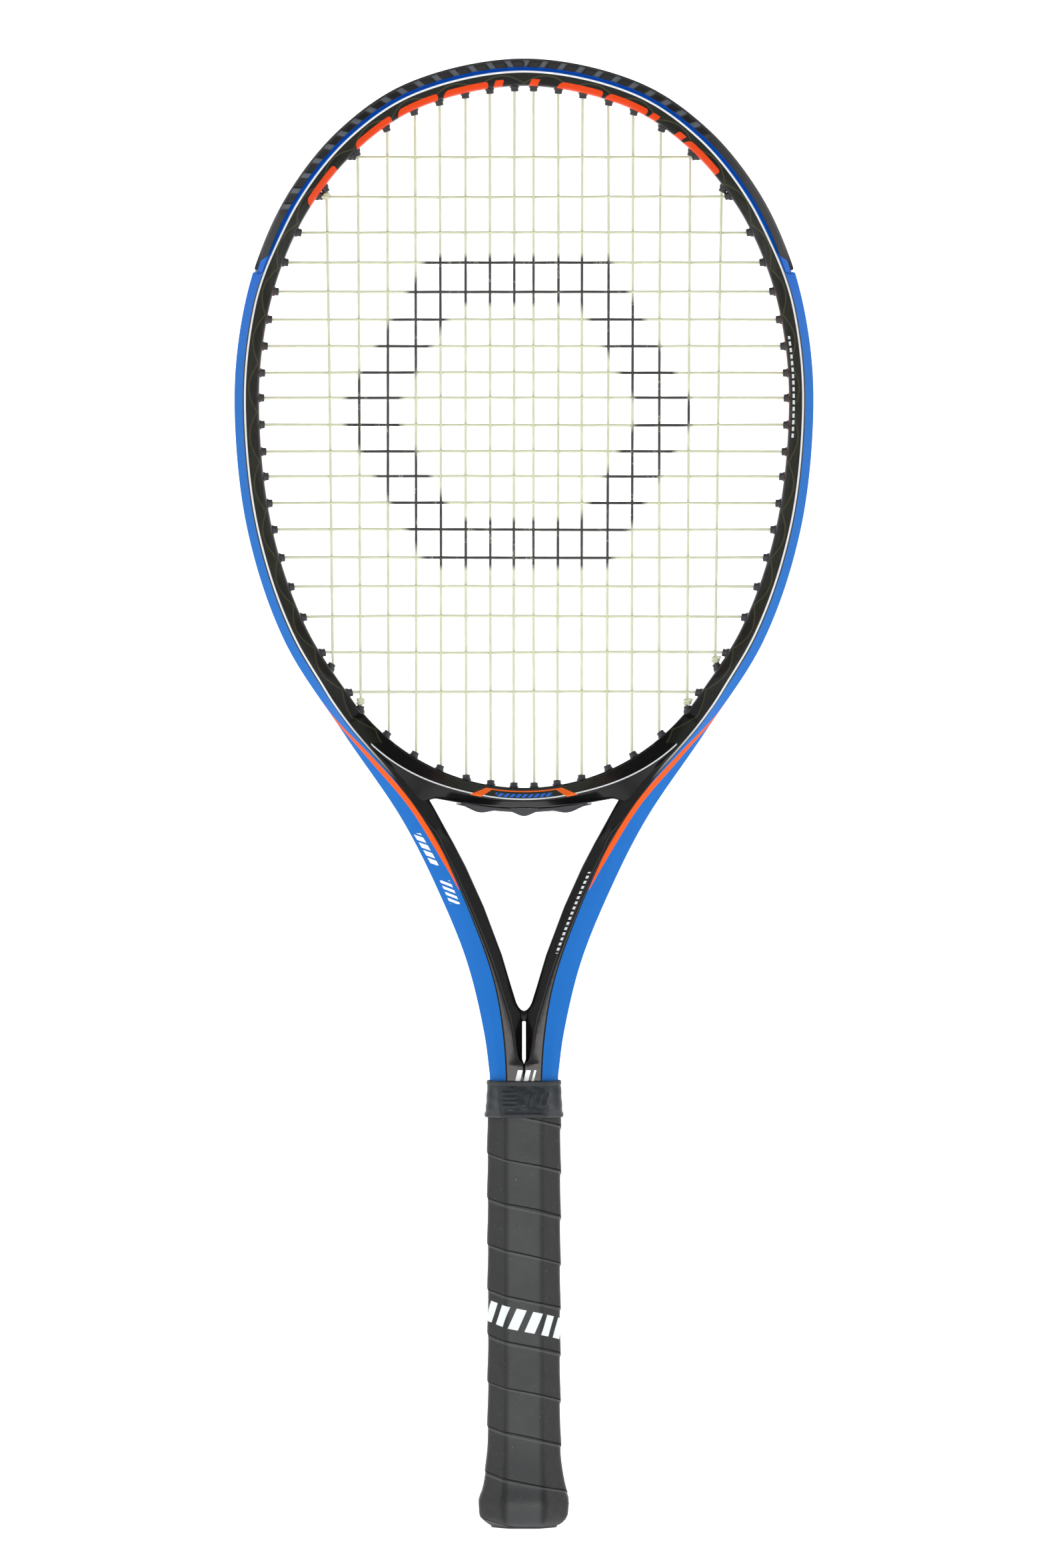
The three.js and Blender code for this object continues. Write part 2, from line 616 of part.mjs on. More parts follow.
// A string's end runs in the groove towards the hole that it is tied off at, and stops beside it.
const tieOff = (from, to) => outside(from, to, rightOuter, RUN_DEPTH, 0.72);

function mainString() {
  const half = mainHalfRoute();
  return stringAlong([...half.slice(1).reverse().map(mirrored), ...half], -HOLD);
}

// The crosses weave from the top left to the bottom right.
function crossString() {
  const leftOuter = rightOuter.map(mirrorStep);
  const [left, right] = [crossEnds.map(mirrorSeat), crossEnds];
  const top = { ...mirrorSeat(mainTops[MAIN_TOPS.length - 1]), y: HOLD };
  const route = outside(left[0], top, leftOuter, RUN_DEPTH, 0.9).reverse();
  for (let i = 0; i < CROSSES.length; i++) {
    const [near, far] = i % 2 === 0 ? [left, right] : [right, left];
    route.push(mouthPoint(near[i]), mouthPoint(far[i]));
    if (i + 1 === CROSSES.length) {
      route.push(...outside(far[i], mainFeet[MAIN_TOPS.length - 1], rightOuter, RUN_DEPTH, 0.9));
    } else {
      route.push(...outside(far[i], far[i + 1], i % 2 === 0 ? rightOuter : leftOuter, RUN_DEPTH));
    }
  }
  return stringAlong(route, HOLD);
}

// A tie-off knot, wound once round the main that it holds on to.
function knot(hole) {
  const geometry = new THREE.TorusGeometry(1.8, 0.75, 6, 10);
  const bend = mouthPoint(hole);
  geometry.translate(bend.x, hole.y, bend.y - 3.4 * Math.sign(hole.along.y));
  return geometry;
}

// ---- Handle ----

// An eight-sided section: wide flats front and back, narrower ones at the sides.
function octagon(halfX, halfY, z, flatX = halfX * 0.49, flatY = halfY * 0.36) {
  return [
    [halfX, -flatY], [halfX, flatY], [flatX, halfY], [-flatX, halfY],
    [-halfX, flatY], [-halfX, -flatY], [-flatX, -halfY], [flatX, -halfY],
  ].map(([x, y]) => new THREE.Vector3(x, y, z));
}
const octagons = (rows) =>
  solid(loft(rows.map(([z, halfX, halfY, ...flats]) => octagon(halfX, halfY, z, ...flats))));
const grown = (rows, by) => rows.map(([z, halfX, halfY]) => [z, halfX + by, halfY + by]);

// Outside of the handle under the grip: the butt cap's flare, then the pallets.
const UNDER_GRIP = GRIP_THICKNESS + GAP;
const FLARE = [
  [GRIP_FOOT, 18.4, 16.6], [9.2, 19, 17.2], [12.9, 19.3, 17.5], [16.7, 17.7, 15.9],
  [24.2, 16.5, 14.7], [CAP_TOP, GRIP_HALF.x - UNDER_GRIP, GRIP_HALF.y - UNDER_GRIP],
];

function gripWrap() {
  const bare = [...FLARE, [GRIP_TOP, GRIP_HALF.x - UNDER_GRIP, GRIP_HALF.y - UNDER_GRIP]];
  const bore = grown(bare, GAP);
  bore[0] = [GRIP_FOOT - 1, ...bore[0].slice(1)];
  bore[bore.length - 1] = [GRIP_TOP + 1, ...bore[bore.length - 1].slice(1)];
  return octagons(grown(bare, UNDER_GRIP)).subtract(octagons(bore));
}

function palletPair() {
  const [x, y] = [GRIP_HALF.x - UNDER_GRIP, GRIP_HALF.y - UNDER_GRIP];
  const neck = [CAP_SOCKET.x - GAP, CAP_SOCKET.y - GAP];
  return octagons([
    [CAP_FLOOR + 0.5, ...neck], [CAP_TOP + 0.2, ...neck], [CAP_TOP + 0.4, x, y], [PALLET_TOP, x, y],
  ]).subtract(legCavity()).subtract(joined(staples(GAP)));
}

// The room that both legs of the frame take inside the pallets.
function legCavity() {
  const [x, y, flat, crest] = [LEG_OUTER + 0.35, LEG_DEPTH / 2 + 0.35, 4.3, 6.4];
  const outline = [
    [x, -flat], [x, flat], [crest, y], [-crest, y], [-x, flat], [-x, -flat], [-crest, -y], [crest, -y],
  ];
  const ring = (z) => outline.map(([px, py]) => new THREE.Vector3(px, py, z));
  return solid(loft([ring(0), ring(PALLET_TOP + 5)]));
}

function palletHalf(side) {
  const far = 40;
  const [from, to] = side < 0 ? [-GAP / 2, far] : [-far, GAP / 2];
  return palletPair().subtract(box([-far, from, -1], [far, to, PALLET_TOP + 5]));
}

function buttCap() {
  const outer = octagons([
    [0, 15.6, 13.8], [1.5, 17.2, 15.4], [4.3, 18.6, 16.8], ...FLARE.slice(1, -1),
    [CAP_TOP, ...FLARE[FLARE.length - 1].slice(1)],
  ]);
  const straight = (from, to, half) => octagons([[from, half.x, half.y], [to, half.x, half.y]]);
  const socket = straight(CAP_FLOOR, CAP_TOP + 1, CAP_SOCKET);
  const doorway = straight(-1, CAP_FLOOR + 1, { x: DOOR_HALF.x + GAP, y: DOOR_HALF.y + GAP });
  return cutBy(outer, [socket, doorway, ...staples(GAP)]);
}

// The cover that closes the butt cap, with two prongs that clip inside it.
function endCover() {
  const plate = octagons([[0, DOOR_HALF.x, DOOR_HALF.y], [1.9, DOOR_HALF.x, DOOR_HALF.y]]);
  const prongs = [-1, 1].map((side) => {
    const x = side * 6.5;
    return box([x - 0.7, -3, 1.5], [x + 0.7, 3, 8]);
  });
  return joined([plate, ...prongs]);
}

// Two staples, right and left, that hold the cap on the pallets, with room added round their seats.
function staples(room = 0) {
  return [1, -1].map((side) => {
    const across = (near, far) => (side > 0 ? [near, far] : [-far, -near]);
    const wire = (near, far, yFrom, yTo) => {
      const [x0, x1] = across(near - room, far + room);
      return box([x0, yFrom - room, STAPLE_Z - 0.5 - room], [x1, yTo + room, STAPLE_Z + 0.5 + room]);
    };
    return joined([wire(14.8, 15.6, -3.5, 3.5), wire(12.4, 15.6, -3.5, -2.6), wire(12.4, 15.6, 2.6, 3.5)]);
  });
}

// Foam plug that closes the end of one leg.
function legPlug(side) {
  const steps = [LEG_FOOT, LEG_FOOT + LEG_PLUG_LENGTH].map((z) => legStep(LEG_OUTER, z));
  const rows = (side > 0 ? steps : steps.map(mirrorStep)).map((s) => section(s, hollowProfile(s, GAP)));
  return loft(rows);
}

function finishingTape() {
  const [foot, top] = [GRIP_TOP + 0.3, GRIP_TOP + 4];
  const ring = [16.1, 11.45, 9, 5.9]; // inside half sizes, then half flats
  const outer = ring.map((size) => size + 0.5);
  return octagons([[foot, ...outer], [top, ...outer]])
    .subtract(octagons([[foot - 1, ...ring], [top + 1, ...ring]]));
}

// The rubber collar, with a bead round each end.
function gripCollar() {
  const outer = octagons([
    [191.5, 18, 16.2, 9.8, 7], [192.6, 18.4, 16.6, 10, 7.2], [194.2, 18.2, 16.4, 10.4, 8],
    [195, 17.85, 16.1, 10.4, 8.2],
    [206.6, 17.2, 13.1, 10, 7.2], [207.4, 17.45, 13.4, 10.2, 7.4], [208.6, 17.3, 13.2, 10, 7.2],
  ]);
  const neck = [16.7, 12.2, 9.4, 6.3];
  const bore = octagons([
    [190, 17.35, 15.55], [194.6, 17.35, 15.5], [195.4, 17.35, 15.3, 9.8, 7.4],
    [199.2, 17.35, 14.9, 9.8, 7.4], [201, ...neck], [210, ...neck],
  ]);
  return outer.subtract(bore);
}

// ---- Assembly ----

const lacquer = { color: 0x0a6fc4, roughness: 0.3, metalness: 0.4 };
const black = { color: 0x1c1c1f, roughness: 0.35, metalness: 0.1 };
const nylon = { color: 0x2a292d, roughness: 0.6, metalness: 0 };
const cordage = { color: 0xe9ead2, roughness: 0.4, metalness: 0 };
const foam = { color: 0x6b6a60, roughness: 0.9, metalness: 0 };
const plastic = { color: 0x222327, roughness: 0.55, metalness: 0 };
const leather = { color: 0x333335, roughness: 0.85, metalness: 0 };
const rubber = { color: 0x1d2529, roughness: 0.75, metalness: 0 };
const steel = { color: 0xa8abae, roughness: 0.4, metalness: 1 };

const racket = new THREE.Group();

function place(name, shape, finish) {
  const geometry = shape.isBufferGeometry ? shape : geometryOf(shape);
  const mesh = new THREE.Mesh(geometry, new THREE.MeshStandardMaterial(finish));
  mesh.name = name;
  racket.add(mesh);
}

place('frame_hairpin', frameHairpin(), lacquer);
place('throat_bridge', throatBridge(), black);
place('bumper_guard', bumperGuard(), nylon);
place('throat_grommet_strip', throatStrip(), nylon);
for (const [name, side] of [['left', -1], ['right', 1]]) {
  place(`${name}_grommet_strip`, sideStrip(side), nylon);
  place(`${name}_shoulder_grommets`, shoulderGrommets(side), nylon);
}
place('main_string', mainString(), cordage);
place('cross_string', crossString(), cordage);
const lastMain = MAIN_TOPS.length - 1;
place('main_knot_left', knot(mirrorSeat(mainFeet[lastMain - 1])), cordage);
place('main_knot_right', knot(mainFeet[lastMain - 1]), cordage);
place('cross_knot_top', knot(mirrorSeat(mainTops[lastMain])), cordage);
place('cross_knot_bottom', knot(mainFeet[lastMain]), cordage);
place('front_pallet', palletHalf(-1), foam);
place('back_pallet', palletHalf(1), foam);
place('left_leg_plug', legPlug(-1), foam);
place('right_leg_plug', legPlug(1), foam);
place('butt_cap', buttCap(), plastic);
place('end_cover', endCover(), plastic);
staples().forEach((staple, i) => place(i ? 'left_cap_staple' : 'right_cap_staple', staple, steel));
place('grip_wrap', gripWrap(), leather);
place('finishing_tape', finishingTape(), nylon);
place('grip_collar', gripCollar(), rubber);

export default racket;
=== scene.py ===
"""The looks of a strung tennis racket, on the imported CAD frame. Lengths are in mm until a mesh is made."""
import math

import bpy
import numpy as np
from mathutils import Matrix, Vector


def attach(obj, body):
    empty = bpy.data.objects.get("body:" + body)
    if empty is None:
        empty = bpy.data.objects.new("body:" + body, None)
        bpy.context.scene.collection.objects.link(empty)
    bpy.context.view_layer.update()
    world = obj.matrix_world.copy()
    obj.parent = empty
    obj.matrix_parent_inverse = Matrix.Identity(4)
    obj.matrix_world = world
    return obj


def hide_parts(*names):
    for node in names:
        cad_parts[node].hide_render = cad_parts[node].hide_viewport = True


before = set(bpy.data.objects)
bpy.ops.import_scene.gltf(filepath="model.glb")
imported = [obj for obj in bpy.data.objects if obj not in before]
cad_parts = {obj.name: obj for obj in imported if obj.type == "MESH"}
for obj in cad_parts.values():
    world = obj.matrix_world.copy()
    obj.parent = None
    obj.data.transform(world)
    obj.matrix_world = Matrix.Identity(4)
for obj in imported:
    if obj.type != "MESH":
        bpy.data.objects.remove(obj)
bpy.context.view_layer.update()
rng = np.random.default_rng(7)

# ---------------------------------------------------------------- sizes, in mm, as in the CAD
TIP, HEAD_HALF, HEAD_WIDEST, HEAD_DROP, HEAD_POWER = 685.8, 135.2, 523.0, 194.5, 2.13
TOP_ANGLES, LOWER_ANGLES = np.radians([90, 68, 52, 37, 24, 12, 0]), np.radians([17, 34, 51])
SHAFT_OUTER = [[57, 330.5], [40, 297], [26.5, 263.5], [18.5, 230], [16, 211]]
OUTER_EDGE = np.concatenate([
    np.column_stack([HEAD_HALF * np.cos(TOP_ANGLES).clip(0) ** (2 / HEAD_POWER),
                     HEAD_WIDEST + (TIP - HEAD_WIDEST) * np.sin(TOP_ANGLES) ** (2 / HEAD_POWER)]),
    np.column_stack([HEAD_HALF * np.cos(LOWER_ANGLES), HEAD_WIDEST - HEAD_DROP * np.sin(LOWER_ANGLES)]),
    SHAFT_OUTER,
])
OUTER_EDGE[0, 0] = 0
SHAFT_INNER_EDGE = [
    [60, 365.8], [42.3, 336.5], [32.9, 319.6], [27, 308.3], [18.6, 289.6], [10.2, 267.2],
    [5.8, 252.3], [3.4, 244.5], [0.8, 240], [0.8, 218.6], [0, 216.5], [0, 150],
]
HEAD_FOOT, HEAD_FOOT_RADIUS, FOOT_ARC_REACH = 345.3, 98.0, 75.0
HOOP_DEPTH, SHAFT_DEPTH, BRIDGE_DEPTH = 21.0, 22.0, 19.0
SHAFT_FOOT = 196.3
BARREL_STAND, STRING_RADIUS = 2.3, 0.65
# The strings stand closest in the middle of the face and spread towards its edges.
MAIN_FIRST, MAIN_PITCH, TOP_SPREAD, FOOT_SPREAD = 4.8, 11, 0.08, 0.06
MAIN_TOPS, MAIN_FEET = [[MAIN_FIRST + MAIN_PITCH * i + spread * i ** 2.5 for i in range(8)]
                        for spread in (TOP_SPREAD, FOOT_SPREAD)]
CROSS_MIDDLE, CROSS_PITCH, CROSS_SPREAD = 515, 12.25, 0.00025
FOOT_LEAN = [0, 0, 0, 0.85, 0.85, 0.85, 0.2, 0.5]
CROSSES = [CROSS_MIDDLE + CROSS_PITCH * i + CROSS_SPREAD * i ** 5 for i in range(9, -10, -1)]
BUMPER_END, SHOULDER_END = 587.0, 348.0
BRIDGE_FOOT, BRIDGE_RISE, THROAT_STRIP_HALF = 335.5, 3.4, 31.0
# Right edge of the black front face on the shafts, x by height, and the middle of the orange stripe.
BLACK_EDGE = [
    [8, 196], [9.6, 228], [14.2, 255], [24.6, 285], [38.2, 315], [57.5, 345], [82.7, 375], [99.9, 400],
]
STRIPE = [[25, 286], [31.4, 300], [40.8, 318], [53.5, 338], [70.7, 358], [89, 378], [95, 386]]
# Orange blocks along the head's outer edge, from the crown outwards: the gap before each one, and its kind.
LONG_BLOCK, CHIP = 23.0, 4.5
BLOCKS_LEFT = [[10, CHIP], [3, LONG_BLOCK], [3, LONG_BLOCK], [4, LONG_BLOCK], [15, LONG_BLOCK]]
BLOCKS_RIGHT = [[4, CHIP], [10, LONG_BLOCK], [2, LONG_BLOCK], [2, CHIP], [12, CHIP], [2, LONG_BLOCK]]
# Crease where the shafts' front faces turn inwards: x by height, from the rounded tip of the recess.
CREASE = [
    [0, 216.8], [1.8, 217.8], [3.1, 220.5], [4.2, 226], [5.1, 232], [8.3, 244.5], [14.9, 265], [24.9, 290], [37, 317],
]
PRINTED_TURNS = (4.8, 5.6)  # the turns of the grip's tape that carry the printed band


# ---------------------------------------------------------------- small maths
def smooth(value, low, high):
    t = np.clip((np.asarray(value, float) - low) / (high - low), 0, 1)
    return t * t * (3 - 2 * t)


def mix(a, b, t):
    return a + (b - a) * t


def unit(v):
    v = np.asarray(v, float)
    return v / np.maximum(np.linalg.norm(v, axis=-1, keepdims=True), 1e-9)


def spline(points, per=60):
    """Centripetal Catmull-Rom curve through the points, finely sampled."""
    p = np.asarray(points, float)
    p = np.vstack([2 * p[0] - p[1], p, 2 * p[-1] - p[-2]])
    out = []
    for a, b, c, d in zip(p, p[1:], p[2:], p[3:]):
        da, db, dc = (np.linalg.norm(v) ** 0.5 for v in (b - a, c - b, d - c))
        m1 = ((b - a) / da - (c - a) / (da + db) + (c - b) / db) * db
        m2 = ((c - b) / db - (d - b) / (db + dc) + (d - c) / dc) * db
        t = np.linspace(0, 1, per, endpoint=False)[:, None]
        out.append(b * (2 * t**3 - 3 * t**2 + 1) + c * (3 * t**2 - 2 * t**3)
                   + m1 * (t**3 - 2 * t**2 + t) + m2 * (t**3 - t**2))
    return np.vstack([*out, p[-2:-1]])


def run_along(points):
    """The length of a polyline up to each of its points."""
    return np.concatenate([[0], np.cumsum(np.linalg.norm(np.diff(points, axis=0), axis=1))])


def spaced(points, step):
    """The same polyline with even steps."""
    p = np.asarray(points, float)
    along = run_along(p)
    at = np.linspace(0, along[-1], max(2, int(round(along[-1] / step)) + 1))
    return np.stack([np.interp(at, along, p[:, i]) for i in range(p.shape[1])], axis=1)


def inward(points, middle):
    """Unit directions across a polyline, towards a point or row of points."""
    along = unit(np.gradient(points, axis=0))
    into = np.stack([-along[:, 1], along[:, 0]], axis=1)
    flip = np.sum(into * (middle - points), axis=1) < 0
    into[flip] *= -1
    return into


def table(points, z):
    """x by height, smoothly, from x, z pairs."""
    curve = spline(points)
    order = np.argsort(curve[:, 1])
    return np.interp(z, curve[order, 1], curve[order, 0])


# ---------------------------------------------------------------- outlines in the plane of the face
def whole(right):
    """A right half and its mirror image, from the left end over the middle to the right end."""
    return np.vstack([right[:0:-1] * [-1, 1], right])


def foot_arc(x):
    return HEAD_FOOT + HEAD_FOOT_RADIUS - np.sqrt(HEAD_FOOT_RADIUS**2 - np.asarray(x, float) ** 2)


def hoop_width(z):
    return 11.5 + 1.2 * smooth(z, 560, 670) + 0.7 * (1 - smooth(z, 380, 460))


full = whole(np.asarray(OUTER_EDGE, float))
dense = spaced(spline(full), 0.9)
dense = dense[len(dense) // 2:]
dense[0, 0] = 0
outer = np.vstack([dense, [[15.85, 203], [15.75, SHAFT_FOOT - 4]]])
outer = spaced(outer, 0.9)
outer_into = inward(outer, np.stack([-outer[:, 0], np.maximum(960 - outer[:, 1], outer[:, 1])], axis=1))
outer_into[0] = [0, -1]
outer_into[outer[:, 1] < 211] = [-1, 0]
for i in range(len(outer)):  # the last stretch turns level, smoothly
    z = outer[i, 1]
    if 211 <= z < 240:
        outer_into[i] = unit(mix(np.array([-1.0, 0.0]), outer_into[i], smooth(z, 211, 240)))

hoop_inner = outer + outer_into * hoop_width(outer[:, 1])[:, None]
keep = (hoop_inner[:, 1] > 470) | ((hoop_inner[:, 0] > FOOT_ARC_REACH) & (hoop_inner[:, 1] > 370))
arc_x = np.arange(FOOT_ARC_REACH, -0.01, -0.9)
head_inner = spaced(np.vstack([hoop_inner[keep], np.stack([arc_x, foot_arc(arc_x)], axis=1)]), 0.9)
head_into = inward(head_inner, np.array([[0, 510.0]])) * -1  # out of the head, into the frame

inner_line = np.vstack([
    head_inner[(head_inner[:, 1] > 400) | (head_inner[:, 0] > SHAFT_INNER_EDGE[0][0])],
    np.asarray(SHAFT_INNER_EDGE, float)])


def reach(start, direction, line):
    """Distance along a ray to a polyline."""
    edge, apart = np.diff(line, axis=0), line[:-1] - start
    turn = direction[0] * edge[:, 1] - direction[1] * edge[:, 0]
    turn = np.where(np.abs(turn) < 1e-9, 1e-9, turn)
    far = (apart[:, 0] * edge[:, 1] - apart[:, 1] * edge[:, 0]) / turn
    share = (apart[:, 0] * direction[1] - apart[:, 1] * direction[0]) / turn
    hit = far[(far > 0.01) & (share >= -1e-6) & (share <= 1 + 1e-6)]
    return hit.min() if len(hit) else np.nan


widths = np.array([reach(p, n, inner_line) for p, n in zip(outer, outer_into)])
widths[0] = hoop_width(outer[0, 1])
bad = np.isnan(widths)
widths[bad] = np.interp(np.flatnonzero(bad), np.flatnonzero(~bad), widths[~bad])


def depth_where(points, start, into, width):
    """How far in from the outer edge a station meets x = table(points)."""
    d = np.linspace(0, 1, 80)[None, :] * width[:, None]
    px = start[:, None, 0] + into[:, None, 0] * d
    pz = start[:, None, 1] + into[:, None, 1] * d
    away = px - table(points, pz)
    out = np.empty(len(start))
    for i, row in enumerate(away):
        out[i] = np.interp(0, -row, d[i]) if row[0] > 0 > row[-1] else (0 if row[0] <= 0 else width[i])
    return out


# ---------------------------------------------------------------- meshes
def mesh_object(name, verts, faces, material, **attributes):
    """A mesh object from mm points, with float attributes."""
    mesh = bpy.data.meshes.new(name)
    mesh.from_pydata((np.asarray(verts, float) / 1000).tolist(), [], [list(map(int, f)) for f in faces])
    for key, values in attributes.items():
        layer = mesh.attributes.new(key, "FLOAT", "POINT")
        layer.data.foreach_set("value", np.asarray(values, np.float32).ravel())
    mesh.validate()
    mesh.update()
    mesh.shade_smooth()
    obj = bpy.data.objects.new(name, mesh)
    bpy.context.scene.collection.objects.link(obj)
    obj.data.materials.append(material)
    return obj


def grid_faces(rows, cols, closed=True):
    r = np.arange(rows - 1)[:, None] * cols
    c = np.arange(cols if closed else cols - 1)[None, :]
    n = (c + 1) % cols
    return np.stack([r + c, r + n, r + cols + n, r + cols + c], axis=-1).reshape(-1, 4)


def outwards(verts, faces):
    """Faces of a closed skin, turned to look out."""
    v = np.asarray(verts, float)
    f = np.asarray(faces)
    a, b, c = v[f[:, 0]], v[f[:, 1]], v[f[:, 2]]
    d = v[f[:, 3]] if f.shape[1] == 4 else c
    volume = np.sum(a * np.cross(b, c)) + np.sum(a * np.cross(c, d))
    return f[:, ::-1] if volume < 0 else f


def skin(rings, caps=True):
    """Vertices and faces of a closed tube through rings, rows x count x 3."""
    rows, cols = rings.shape[:2]
    verts = rings.reshape(-1, 3)
    faces = outwards(verts, grid_faces(rows, cols)).tolist()
    if caps:
        ends = [rings[0].mean(axis=0), rings[-1].mean(axis=0)]
        first, last = len(verts), len(verts) + 1
        verts = np.vstack([verts, ends])
        flipped = faces[0] != grid_faces(rows, cols)[0].tolist()
        for i in range(cols):
            j = (i + 1) % cols
            a, b = (i, j) if flipped else (j, i)
            faces.append([first, a, b])
            base = (rows - 1) * cols
            faces.append([last, base + b, base + a])
    return verts, faces


def rounded(corners, radii, per=5):
    """A closed section through corners, rows x k x 2, with each corner rounded by its radius."""
    rows, count = corners.shape[:2]
    out = []
    for k in range(count):
        here, before, after = corners[:, k], corners[:, k - 1], corners[:, (k + 1) % count]
        back, on = before - here, after - here
        lb, lo = np.linalg.norm(back, axis=1), np.linalg.norm(on, axis=1)
        r = np.minimum(radii[k] if np.ndim(radii[k]) else np.full(rows, radii[k]), 0.45 * np.minimum(lb, lo))
        a = here + back / np.maximum(lb, 1e-6)[:, None] * r[:, None]
        b = here + on / np.maximum(lo, 1e-6)[:, None] * r[:, None]
        for t in np.linspace(0, 1, per):
            out.append(a * (1 - t) ** 2 + here * 2 * t * (1 - t) + b * t**2)
    return np.stack(out, axis=1)


def mirrored_corners(half, count):
    """Corners of a closed section, row by row, from those of its front half, given as depth and y."""
    column = lambda v: np.broadcast_to(np.asarray(v, float), (count,))
    front = [np.stack([column(d), -column(y)], axis=1) for d, y in half]
    back = [np.stack([column(d), column(y)], axis=1) for d, y in half][::-1]
    return np.stack(front + back, axis=1)


def along_face(sections, per):
    """Adds even points between the rounded corners of a closed section, so that paint lines stay crisp."""
    count = sections.shape[1]
    lengths = np.linalg.norm(np.roll(sections, -1, axis=1) - sections, axis=2).mean(axis=0)
    out = []
    for k in range(count):
        a, b = sections[:, k], sections[:, (k + 1) % count]
        pieces = max(1, int(round(lengths[k] / per)))
        out += [mix(a, b, t / pieces) for t in range(pieces)]
    return np.stack(out, axis=1)


# ---------------------------------------------------------------- materials
class Nodes:
    """A short way to write a material's nodes."""

    def __init__(self, name):
        self.material = bpy.data.materials.new(name)
        self.material.use_nodes = True
        self.tree = self.material.node_tree
        self.shader = self.tree.nodes["Principled BSDF"]

    def node(self, kind, inputs=(), out=0, **settings):
        node = self.tree.nodes.new(kind)
        for key, value in settings.items():
            setattr(node, key, value)
        for key, value in dict(inputs).items():
            self.put(node.inputs[key], value)
        return node.outputs[out]

    def put(self, socket, value):
        if isinstance(value, bpy.types.NodeSocket):
            self.tree.links.new(value, socket)
        else:
            socket.default_value = value

    def math(self, operation, a, b=0.0, c=0.0, clamp=False):
        return self.node("ShaderNodeMath", {0: a, 1: b, 2: c}, operation=operation, use_clamp=clamp)

    def step(self, value, soft=0.04):
        """1 where value is over 0, with an edge this many mm wide."""
        return self.math("MULTIPLY_ADD", value, 1 / soft, 0.5, clamp=True)

    def within(self, value, low, high, soft=0.04):
        return self.math("MULTIPLY", self.step(self.math("SUBTRACT", value, low), soft),
                         self.step(self.math("SUBTRACT", high, value), soft))

    def both(self, share, *others):
        """Where all of these hold."""
        for other in others:
            share = self.math("MULTIPLY", share, other)
        return share

    def mix(self, share, a, b):
        node = self.tree.nodes.new("ShaderNodeMix")
        node.data_type = "RGBA"
        for i, value in ((0, share), (6, a), (7, b)):
            self.put(node.inputs[i], value)
        return node.outputs[2]

    def value(self, name):
        return self.node("ShaderNodeAttribute", out=2, attribute_name=name)

    def place(self):
        """Object coordinates in mm."""
        where = self.node("ShaderNodeTexCoord", out=3)
        return self.node("ShaderNodeVectorMath", {0: where, 3: 1000.0}, operation="SCALE")

    def axes(self):
        node = self.tree.nodes.new("ShaderNodeSeparateXYZ")
        self.put(node.inputs[0], self.place())
        return node.outputs

    def noise(self, size, detail=2.0, rough=0.5):
        """Noise whose features are about this many mm wide."""
        return self.node("ShaderNodeTexNoise", {"Vector": self.place(), "Scale": 1 / size,
                                                "Detail": detail, "Roughness": rough})

    def cells(self, size, feature="F1"):
        return self.node("ShaderNodeTexVoronoi", {"Vector": self.place(), "Scale": 1 / size}, feature=feature)

    def spread(self, value, low, high):
        return self.node("ShaderNodeMapRange", {0: value, 1: 0.0, 2: 1.0, 3: low, 4: high})

    def bump(self, height, distance, strength=1.0, normal=None):
        inputs = {"Height": height, "Distance": distance / 1000, "Strength": strength}
        if normal is not None:
            inputs["Normal"] = normal
        return self.node("ShaderNodeBump", inputs)

    def finish(self, **inputs):
        for key, value in inputs.items():
            self.put(self.shader.inputs[key.replace("_", " ")], value)
        return self.material


def rgb(r, g, b):
    """An sRGB colour, 0 to 255, as linear."""
    return tuple((c / 255 / 12.92) if c <= 10 else ((c / 255 + 0.055) / 1.055) ** 2.4 for c in (r, g, b)) + (1.0,)


CLEAR_COAT = {"Coat_Weight": 0.1, "Coat_Roughness": 0.04, "Specular_IOR_Level": 0.25}


def black_paint(n):
    return n.mix(n.spread(n.noise(9.0, 3.0), 0.0, 0.5), rgb(12, 12, 14), rgb(20, 19, 20))


def lacquer_relief(n):
    """Orange peel, with fine dust in it."""
    return n.bump(n.noise(2.2, 1.0), 0.035, 0.5, n.bump(n.noise(0.25, 2.0), 0.004, 0.6))


